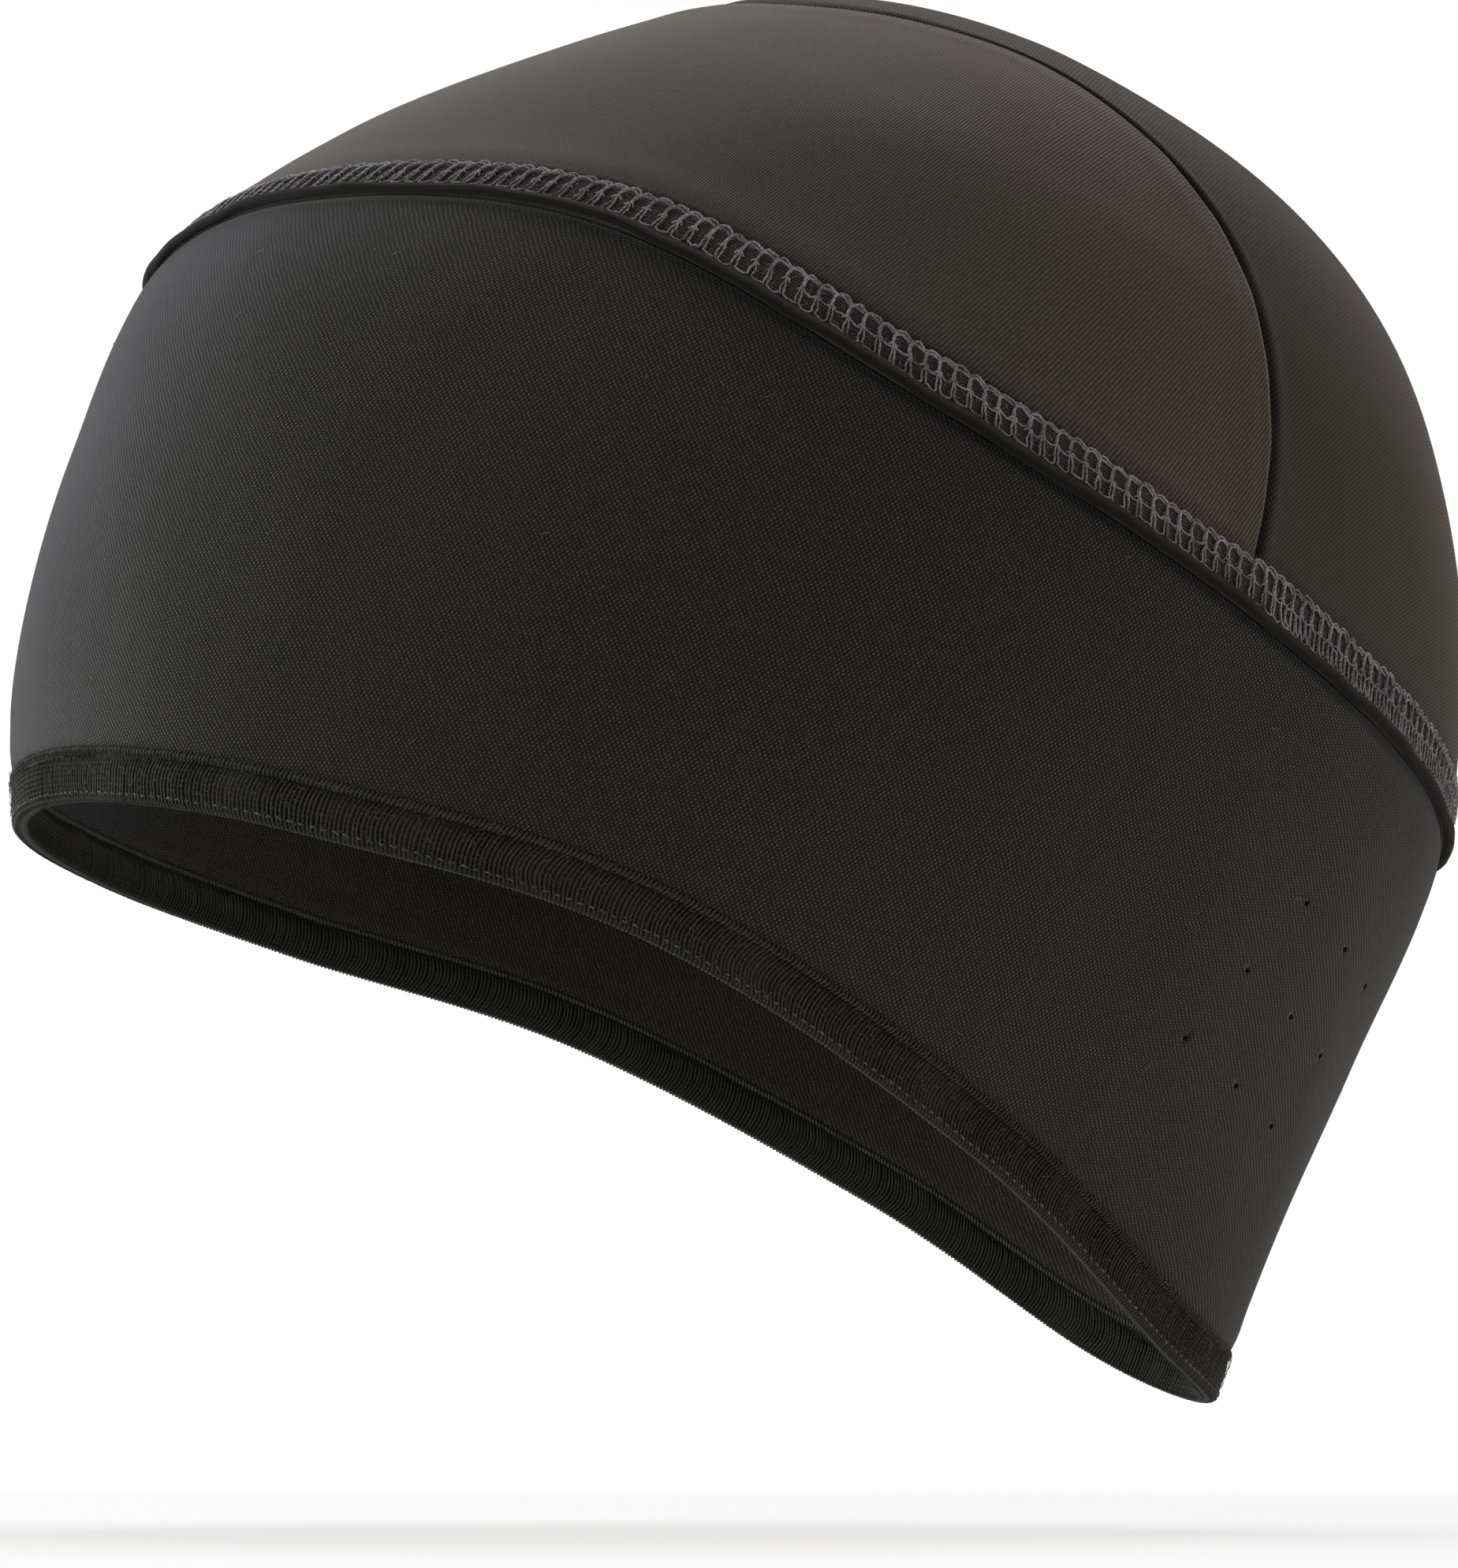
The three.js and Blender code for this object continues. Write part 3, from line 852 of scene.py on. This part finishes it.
def make_fold():
    outline = through(FOLD_OUTLINE, FOLD_OUTLINE_POINTS, closed=True)
    lip = np.clip(1.2 - outline[:, 0] / 2.6, 0, 1) * (outline[:, 1] > 0.2)

    def section(bearing):
        wave = fold_wave(bearing)
        height = climb(bearing, fold_bottom(bearing), outline[:, 0] + wave * lip * 0.8)
        return height, outline[:, 1] + wave * lip * 0.6 + seam_lump(bearing) * (outline[:, 1] > 0)

    ring("fold_cloth", section, fold_cloth, FOLD_COLUMNS, "crown_fold", fold_bottom)


# Crown panels

CROWN_COLUMNS = 300
CROWN_ROWS = 90
CROWN_ROW_POWER = 1.35
CROWN_LOWERED = 1.35
CROWN_SEAM_SHIFT = 0.04


def crown_place(is_front):
    """The panel's grid on the dome's map, with its lower and upper edges and shares along them."""
    shift = -CROWN_SEAM_SHIFT if is_front else CROWN_SEAM_SHIFT
    end = seam_end(shift)
    corner = float(from_map(seam_point(end, shift))[0])
    first, sweep = (-corner, 2 * corner) if is_front else (corner, 2 * (180 - corner))
    first_share = -end if is_front else end
    u = np.linspace(0, 1, CROWN_COLUMNS + 1)
    bearing = first + sweep * u
    low = to_map(bearing, climb(bearing, crown_bottom(bearing), -CROWN_LOWERED))
    high = seam_point(first_share * (1 - 2 * u), shift)
    v = 1 - (1 - np.linspace(0, 1, CROWN_ROWS + 1)) ** CROWN_ROW_POWER
    return u, low, high, low[:, None] + (high - low)[:, None] * v[:, None]


def crown_relief(u, place, from_seam, from_fold, is_front):
    """How proud the panel stands: drawn in at the crown seam, full beside it, and a little uneven."""
    tuck, reach, swell = (0.35, 0.40, 0.14) if is_front else (1.00, 1.45, 0.10)
    turned, height = from_map(place)
    turn = np.radians(turned)
    puff = swell * np.exp(-((from_seam - 3.2) / 1.6) ** 2) - tuck * np.exp(-(from_seam / reach) ** 2)
    pucker = 1 + (0.22 * np.sin(u * 190) + 0.16 * np.sin(u * 83 + 1))[:, None] * np.exp(-from_seam / 2.5)
    uneven = 0.2 * np.sin(5 * turn + height / 14) + 0.12 * np.sin(11 * turn - height / 9)
    uneven = uneven * np.clip(np.linalg.norm(place, axis=-1) / 0.6, 0, 1) ** 3
    fade = np.clip(np.minimum(from_seam, from_fold) / 8, 0, 1)
    near_fold = 0.18 * np.exp(-((from_fold - 2.2) / 1.6) ** 2)
    return puff * pucker + uneven * fade + near_fold


def edge_loop(columns, rows):
    """The points round the edge of a grid, in order, and the next point after each."""
    right, top = columns - 1, rows - 1
    loop = np.concatenate([
        np.arange(columns) * rows,
        right * rows + np.arange(1, rows),
        np.arange(right)[::-1] * rows + top,
        np.arange(1, top)[::-1],
    ])
    return loop, np.roll(loop, -1)


def panel_map(values, column, row, loop, after):
    """Values for every corner of the outer face, the inner face and the edge of a panel."""
    face = values[column, row]
    flat = values.reshape(-1, 2)
    return [face, face[:, ::-1], np.stack([flat[after], flat[loop], flat[loop], flat[after]], 1)]


def make_crown(name, node, material, is_front):
    """A crown panel: an outer and an inner face that a narrow edge joins."""
    u, low, high, place = crown_place(is_front)
    from_seam = np.linalg.norm(place - high[:, None], axis=-1) * MAP_UNIT
    from_fold = np.linalg.norm(place - low[:, None], axis=-1) * MAP_UNIT
    turned, height = from_map(place)
    outer = shell_point(turned, height, crown_relief(u, place, from_seam, from_fold, is_front))
    inner = shell_point(turned, height, -CLOTH_WALL - 0.6 * np.exp(-from_seam / 0.8))
    points = np.concatenate([outer.reshape(-1, 3), inner.reshape(-1, 3)])
    columns, rows = height.shape
    faces, column, row = grid_faces(columns, rows)
    loop, after = edge_loop(columns, rows)
    inward = columns * rows
    edge = np.stack([after, loop, loop + inward, after + inward], -1)
    uvs = panel_map(place * MAP_UNIT, column, row, loop, after)
    piece = make_mesh(name, points, [faces, faces[:, ::-1] + inward, edge], uvs, material, [node])
    steps = np.linalg.norm(np.diff(high, axis=0), axis=1)
    along = np.concatenate([[0], np.cumsum(steps)]) * MAP_UNIT
    seam_mm = np.stack([np.broadcast_to(along[:, None], from_seam.shape), from_seam], -1)
    add_map(piece.data, "seam_mm", panel_map(seam_mm, column, row, loop, after))


# Threads

# One unit of the ladder stitch on the fold, in millimetres, columns: along, up and proud. along runs from the
# unit's top knot in the direction of sewing, and up is from the foot of the ladder.
LADDER_CHAIN = [
    [-0.10, 4.02, 0.28], [0.45, 4.36, 0.36], [1.05, 4.40, 0.36], [1.65, 4.22, 0.34], [2.15, 4.02, 0.28],
]
LADDER_ARCH = [
    [-0.48, 2.70, 0.30], [-0.36, 3.40, 0.36], [0.10, 3.92, 0.38], [0.95, 4.04, 0.32], [1.86, 3.72, 0.24],
]
LADDER_POST = [
    [-0.05, 4.10, 0.30], [-0.28, 3.60, 0.42], [-0.46, 3.00, 0.42], [-0.52, 2.35, 0.34],
]
LADDER_BAR = [
    [-1.25, 2.00, 0.12], [-0.90, 2.22, 0.32], [-0.50, 2.32, 0.46], [-0.14, 2.24, 0.34], [0.02, 2.08, 0.14],
]
LADDER_LEG_A = [
    [-0.52, 2.40, 0.36], [-0.68, 1.85, 0.34], [-0.86, 1.25, 0.30], [-0.96, 0.72, 0.28], [-0.90, 0.24, 0.16],
]
LADDER_LEG_B = [
    [-0.46, 2.40, 0.36], [-0.32, 1.80, 0.34], [-0.26, 1.25, 0.30], [-0.32, 0.66, 0.28], [-0.40, 0.20, 0.16],
]
LADDER_FOOT = [
    [-0.42, 0.26, 0.18], [-0.05, 0.04, 0.26], [0.50, 0.00, 0.26], [1.00, 0.08, 0.26], [1.34, 0.28, 0.18],
]
LADDER_MIDDLE = [
    [-0.50, 2.36, 0.24], [0.10, 2.02, 0.28], [0.85, 1.96, 0.28], [1.50, 2.12, 0.26], [1.76, 2.40, 0.24],
]
LADDER_LOOP_A = [
    [-0.56, 2.30, 0.28], [-0.72, 1.40, 0.32], [-0.46, 0.34, 0.28], [0.14, 0.30, 0.28], [0.52, 2.06, 0.28],
]
LADDER_LOOP_B = [
    [0.46, 2.06, 0.28], [0.38, 1.30, 0.32], [0.66, 0.36, 0.28], [1.24, 0.34, 0.28], [1.62, 2.28, 0.26],
]
LADDER_PLY = [
    [0.10, 4.18, 0.26], [-0.16, 3.70, 0.36], [-0.62, 2.95, 0.30], [-0.70, 2.30, 0.22],
]
LADDER_HEIGHT = 4.3
LADDER_FOOT_UP = 1.50
LADDER_BACK_DROP = 0.25
LADDER_BACK_TALLER = 0.24
LADDER_PITCH_FRONT = 2.25
LADDER_PITCH_BACK = 2.05
LADDER_BARS_FROM = 78

# Lean of the ladder's stitches along the seam for each millimetre down, at bearings from the front
LADDER_SLANT_BEARINGS = np.array([0.0, 55, 70, 84, 110, 145, 180])
LADDER_SLANTS = np.array([-0.1, -0.05, 0.12, 0.42, 0.45, 0.35, 0.3])

# A rib of the hem, columns: up, how far it bows along the hem, radius, and share of the unevenness upwards
RIM_RIB_PITCH = 0.60
RIM_RIB = np.array([
    [-0.05, 0.46, 0.12, 0.0],
    [0.07, 0.42, 0.14, 0.0],
    [0.55, 0.26, 0.16, 0.2],
    [1.50, -0.16, 0.17, 0.4],
    [2.60, -0.40, 0.17, 0.2],
    [3.75, -0.36, 0.17, 0.2],
    [4.90, -0.06, 0.16, 0.5],
    [6.00, 0.44, 0.12, 1.0],
])
RIM_RIB_OUT = 0.06
RIM_RIB_IN = -1.99
RIM_DRIFT_STEP = 11

# A bead of the hem and a dash of the hem, columns: along, up, proud and radius
RIM_BEAD_PITCH = 0.60
RIM_BEAD_IN = -1.75
RIM_BEAD = np.array([
    [-0.22, -0.85, -0.10, 0.09],
    [-0.10, -0.55, 0.10, 0.19],
    [0.04, -0.22, 0.17, 0.22],
    [0.16, 0.04, 0.10, 0.19],
    [0.24, 0.24, -0.10, 0.09],
])
RIM_DASH_PITCH = 1.5
RIM_DASH = np.array([
    [-0.42, 0.95, 0.00, 0.08],
    [-0.24, 1.12, 0.26, 0.13],
    [0.04, 1.16, 0.32, 0.14],
    [0.28, 1.10, 0.26, 0.13],
    [0.42, 0.94, 0.00, 0.08],
])

# A finer outline of the hem, and which of its points are on the outside
RIM_FINE_POINTS = 84
RIM_FINE_OUTSIDE = slice(10, 58)

FIBRE_STEPS = 4
FUZZ_RADIUS = 0.028
LINT_COUNT = 110


def walk(line, pitch):
    """Bearings of stitches along a line round the head. pitch is a length, or gives it for a bearing."""
    bearing = np.linspace(0, 360, LINE_SAMPLES)
    points = cloth_point(bearing, line(bearing))
    lengths = np.linalg.norm(np.diff(points, axis=0), axis=1)
    pitches = pitch(bearing[:-1]) if callable(pitch) else pitch
    counts = np.concatenate([[0], np.cumsum(lengths / pitches)])
    whole = int(counts[-1])
    return np.interp(np.arange(whole) * counts[-1] / whole, counts, bearing)


def on_line(line, start, along, up, proud):
    """Points along and up from stitches at given bearings of a line, and the cloth's normal there."""
    bearing = start[:, None]
    point = cloth_point(bearing, line(bearing))
    step = np.linalg.norm(cloth_point(bearing + 0.5, line(bearing + 0.5)) - point, axis=-1) / 0.5
    turned = bearing + along / step
    height = climb(turned, line(turned), up)
    return shell_point(turned, height, proud), outward(turned, height)


def uneven_copies(shape, units, spread, proud_share=1):
    """A copy of a small stitch for each unit, each a little different."""
    return shape[None] + random.normal(0, spread, (units, len(shape), 3)) * [1, 1, proud_share]


def ladder_pitch(bearing):
    return np.where(from_front(bearing) < SEAM_CORNER, LADDER_PITCH_FRONT, LADDER_PITCH_BACK)


def make_ladder():
    """The flat stitching on the fold. Threads that are links end on the next unit."""
    start = walk(fold_bottom, ladder_pitch)
    units = len(start)
    turned = from_front(start)
    squeeze = ladder_pitch(start) / LADDER_PITCH_FRONT
    slant = smooth(LADDER_SLANT_BEARINGS, LADDER_SLANTS, turned)
    rear = np.clip((turned - SEAM_CORNER + 8) / 10, 0, 1)
    lump = seam_lump(start)
    every = np.ones(units, bool)
    barred = turned > LADDER_BARS_FROM
    behind = turned > SEAM_CORNER + 3
    # Columns: shape, radius, steps, whether it is a link, and the units that have it
    threads = [
        (LADDER_CHAIN, 0.14, 9, True, every),
        (LADDER_ARCH, 0.14, 9, True, every),
        (LADDER_POST, 0.19, 7, False, every),
        (LADDER_BAR, 0.13, 7, False, every),
        (LADDER_MIDDLE, 0.105, 8, True, barred),
        (LADDER_PLY, 0.11, 6, False, every),
        (LADDER_LEG_A, 0.13, 7, False, ~behind),
        (LADDER_LEG_B, 0.13, 7, False, ~behind),
        (LADDER_FOOT, 0.12, 8, True, every),
        (LADDER_LOOP_A, 0.12, 9, False, behind),
        (LADDER_LOOP_B, 0.12, 9, True, behind),
    ]
    lift = random.normal(0, 0.10, units)
    slide = random.normal(0, 0.09, units)
    parts = []
    for rows, radius, steps, is_link, chosen in threads:
        rows = np.array(rows)
        knots = uneven_copies(rows, units, 0.075, 0.5)
        knots[..., 0] += slide[:, None]
        knots[..., 1] += lift[:, None]
        if is_link:
            knots[:, -1, 0] = rows[-1, 0] + np.roll(slide, -1)
            knots[:, -1, 1] = rows[-1, 1] + np.roll(lift, -1)
        fine = np.stack([through(k, steps) for k in knots])[chosen]
        along = fine[..., 0] * squeeze[chosen][:, None]
        along = along + slant[chosen][:, None] * (LADDER_HEIGHT - fine[..., 1])
        back = rear[chosen][:, None]
        up = LADDER_FOOT_UP - LADDER_BACK_DROP * back + fine[..., 1] * (1 + LADDER_BACK_TALLER * back)
        proud = FOLD_STRIP + lump[chosen][:, None] + fine[..., 2]
        paths, normals = on_line(fold_bottom, start[chosen], along, up, proud)
        parts.append(tubes(paths, normals, radius * (1 + random.normal(0, 0.12, (len(paths), 1)))))
    points, faces, uvs = joined(parts)
    make_mesh("ladder_stitch", points, faces, uvs, ladder_thread)


def rim_level(up):
    """How proud the outside of the hem stands at a height in millimetres above its lower edge."""
    outline = through(RIM_OUTLINE, RIM_FINE_POINTS, closed=True)[RIM_FINE_OUTSIDE]
    order = np.argsort(outline[:, 0])
    return np.interp(up / RIM_HEIGHT, outline[order, 0], outline[order, 1])


def make_rim_threads(name, material, inside):
    """Dense curved threads over the hem, outside or inside."""
    start = walk(rim_bottom, RIM_RIB_PITCH)
    units = len(start)
    ups, bow, radius, loose = RIM_RIB.T
    steps = np.arange(0, units + 40, RIM_DRIFT_STEP)
    drift = np.interp(np.arange(units), steps, random.normal(0, 0.1, len(steps)))[:, None]
    along = bow * (1 + drift * 3) + random.normal(0, 0.035, (units, 1))
    up = ups + (drift * 2.2 + random.normal(0, 0.10, (units, 1))) * loose
    level = RIM_RIB_IN + 0.8 * np.clip(0.5 - up, 0, 1) if inside else rim_level(up) + RIM_RIB_OUT
    proud = level + random.normal(0, 0.025, (units, 1))
    paths, normals = on_line(rim_bottom, start, along, up, proud)
    points, faces, uvs = tubes(paths, normals, radius)
    make_mesh(name, points, faces, uvs, material)


def make_rim_beads(name, material, inside):
    """Short slanting stitches over the hem's upper edge, which read as a row of beads."""
    start = walk(rim_top, RIM_BEAD_PITCH)
    along, up, proud = np.moveaxis(uneven_copies(RIM_BEAD[:, :3], len(start), 0.03), -1, 0)
    paths, normals = on_line(rim_top, start, along, up, RIM_BEAD_IN - proud if inside else proud)
    points, faces, uvs = tubes(paths, normals, RIM_BEAD[:, 3])
    make_mesh(name, points, faces, uvs, material)


def make_rim_dashes():
    """A run of small stitches just above the lower fold of the hem."""
    start = walk(rim_bottom, RIM_DASH_PITCH)
    along, up, proud = np.moveaxis(uneven_copies(RIM_DASH[:, :3], len(start), 0.06, 0.4), -1, 0)
    paths, normals = on_line(rim_bottom, start, along, up, proud)
    points, faces, uvs = tubes(paths, normals, RIM_DASH[:, 3])
    make_mesh("rim_dashes", points, faces, uvs, dash_thread)


def make_fibres(name, starts, heights, lengths, radius, proud, material):
    """Loose curved fibres that lie on the cloth or stand off it."""
    count = len(starts)
    heading = random.uniform(0, TURN, count)
    bend = random.normal(0, 0.9, count)
    travelled = np.linspace(-0.5, 0.5, FIBRE_STEPS)[None] * lengths[:, None]
    turned = heading[:, None] + bend[:, None] * np.linspace(-0.5, 0.5, FIBRE_STEPS)
    along, up = travelled * np.cos(turned), travelled * np.sin(turned)
    scale = np.linalg.norm(cloth_point(starts + 0.5, heights) - cloth_point(starts, heights), axis=-1) / 0.5
    bearing = starts[:, None] + along / scale[:, None]
    height = climb(bearing, np.broadcast_to(heights[:, None], bearing.shape), up)
    rise = random.uniform(0.0, 0.14, (count, 1)) * np.linspace(0, 1, FIBRE_STEPS) * lengths[:, None]
    paths = shell_point(bearing, height, proud[:, None] + rise)
    points, faces, uvs = tubes(paths, outward(bearing, height), radius, 3)
    make_mesh(name, points, faces, uvs, material)


def make_fuzz(name, count, line, ups, lengths, prouds, material):
    """Fine fibres that stand off the cloth near a line. The pairs are a lowest and a highest value."""
    bearing = random.uniform(0, 360, count)
    height = climb(bearing, line(bearing), random.uniform(*ups, count))
    length = random.uniform(*lengths, count)
    proud = random.uniform(*prouds, count)
    make_fibres(name, bearing, height, length, FUZZ_RADIUS, proud, material)


def make_lint():
    """A little light lint on the band."""
    bearing = random.uniform(0, 360, LINT_COUNT)
    low, high = rim_top(bearing) + 1, join(bearing) - 2
    height = low + (high - low) * random.uniform(0, 1, LINT_COUNT)
    length = random.uniform(0.5, 2.2, LINT_COUNT)
    radius = random.uniform(0.018, 0.03, (LINT_COUNT, 1))
    proud = band_ripple(bearing, height) + 0.05
    make_fibres("band_lint", bearing, height, length, radius, proud, lint_fibre)


# Stage

def make_camera():
    data = bpy.data.cameras.new("camera")
    data.lens = CAMERA_LENS
    data.sensor_width = CAMERA_SENSOR
    data.sensor_fit = "AUTO"
    camera = bpy.data.objects.new("camera", data)
    bpy.context.scene.collection.objects.link(camera)
    a, e = CAMERA_AZIMUTH, CAMERA_ELEVATION
    back = np.array([math.sin(a) * math.cos(e), -math.cos(a) * math.cos(e), math.sin(e)])
    camera.location = (np.array(CAMERA_AIM) + back * CAMERA_DISTANCE) * MM
    camera.rotation_euler = (math.pi / 2 - e, 0, a)
    data.clip_start = CAMERA_NEAR
    data.clip_end = CAMERA_FAR
    bpy.context.scene.camera = camera
    return camera


# Lights, columns: name, place in metres, size in metres, power in watts, colour
LIGHTS = [
    ("front_light", (0.25, -1.10, 0.20), (0.9, 0.9), 9.4, (0.96, 1.00, 0.84)),
    ("edge_light", (-0.60, -0.95, -0.05), (0.5, 0.9), 11.0, (0.95, 0.94, 1.00)),
    ("rear_light", (0.45, 1.10, 0.10), (0.7, 0.9), 6.2, (1.00, 0.78, 0.45)),
    ("top_light", (0.00, 0.15, 1.10), (0.8, 0.8), 12.4, (0.92, 0.90, 1.00)),
]
AMBIENT = 0.03
FLOOR_HALF = 0.9
FLOOR_FADE_START = 0.25
FLOOR_FADE_END = 0.75


def area_light(name, place, size, power, colour):
    data = bpy.data.lights.new(name, "AREA")
    data.shape = "RECTANGLE"
    data.size, data.size_y = size
    data.energy = power
    data.color = colour
    light = bpy.data.objects.new(name, data)
    bpy.context.scene.collection.objects.link(light)
    light.location = place
    direction = np.array(CAMERA_AIM) * MM - np.array(place)
    flat = math.hypot(direction[0], direction[1])
    light.rotation_euler = (math.atan2(flat, -direction[2]), 0, math.atan2(-direction[0], direction[1]))


def make_floor(camera):
    """A pale level floor that fades to the white of the studio further out."""
    height = camera.location.z - FLOOR_BELOW_CAMERA * MM
    ends = (-FLOOR_HALF, FLOOR_HALF)
    corners = [(ends[i], ends[j], height) for i, j in ((0, 0), (1, 0), (1, 1), (0, 1))]
    mesh = bpy.data.meshes.new("floor")
    mesh.from_pydata(corners, [], [(0, 1, 2, 3)])
    floor = bpy.data.objects.new("floor", mesh)
    bpy.context.scene.collection.objects.link(floor)
    g = Graph("floor_white")
    g.shader.inputs["Base Color"].default_value = (0.9, 0.9, 0.91, 1)
    g.shader.inputs["Roughness"].default_value = 0.9
    g.shader.inputs["Specular IOR Level"].default_value = 0.1
    place = g.node("ShaderNodeNewGeometry").outputs["Position"]
    out = g.vector("LENGTH", g.vector("MULTIPLY", place, (1, 1, 0)))
    white = g.node("ShaderNodeEmission", Strength=1.0)
    both = g.tree.nodes.new("ShaderNodeMixShader")
    g.put(both.inputs[0], g.spread(out, FLOOR_FADE_START, FLOOR_FADE_END, 0.7, 1.0))
    g.put(both.inputs[1], g.shader.outputs[0])
    g.put(both.inputs[2], white.outputs[0])
    g.put(g.tree.nodes["Material Output"].inputs["Surface"], both.outputs[0])
    mesh.materials.append(g.material)


def make_world():
    """White behind the object, and a weaker even light on it."""
    world = bpy.data.worlds.new("studio")
    bpy.context.scene.world = world
    world.use_nodes = True
    tree = world.node_tree
    ambient = tree.nodes["Background"]
    ambient.inputs["Color"].default_value = (1, 1, 1, 1)
    ambient.inputs["Strength"].default_value = AMBIENT
    seen = tree.nodes.new("ShaderNodeBackground")
    seen.inputs["Color"].default_value = (1, 1, 1, 1)
    path = tree.nodes.new("ShaderNodeLightPath")
    both = tree.nodes.new("ShaderNodeMixShader")
    tree.links.new(path.outputs["Is Camera Ray"], both.inputs[0])
    tree.links.new(ambient.outputs[0], both.inputs[1])
    tree.links.new(seen.outputs[0], both.inputs[2])
    tree.links.new(both.outputs[0], tree.nodes["World Output"].inputs["Surface"])


camera = make_camera()
make_band()
make_rim()
make_fold()
make_crown("crown_front_cloth", "crown_front", crown_front_cloth, is_front=True)
make_crown("crown_back_cloth", "crown_back", crown_back_cloth, is_front=False)
make_ladder()
make_rim_threads("rim_threads", rim_thread, inside=False)
make_rim_threads("rim_threads_inside", inner_thread, inside=True)
make_rim_beads("rim_beads", bead_thread, inside=False)
make_rim_beads("rim_beads_inside", inner_bead_thread, inside=True)
make_rim_dashes()
make_fuzz("ladder_fuzz", 3600, fold_bottom, (LADDER_FOOT_UP, LADDER_FOOT_UP + 4.6), (0.3, 1.0),
          (0.55, 0.85), ladder_thread)
make_fuzz("hem_fuzz", 2600, rim_top, (-6.2, 0.2), (0.4, 1.3), (0.28, 0.5), hem_fibre)
make_lint()
make_floor(camera)
make_world()
for row in LIGHTS:
    area_light(*row)
bpy.context.scene.view_settings.view_transform = "Standard"
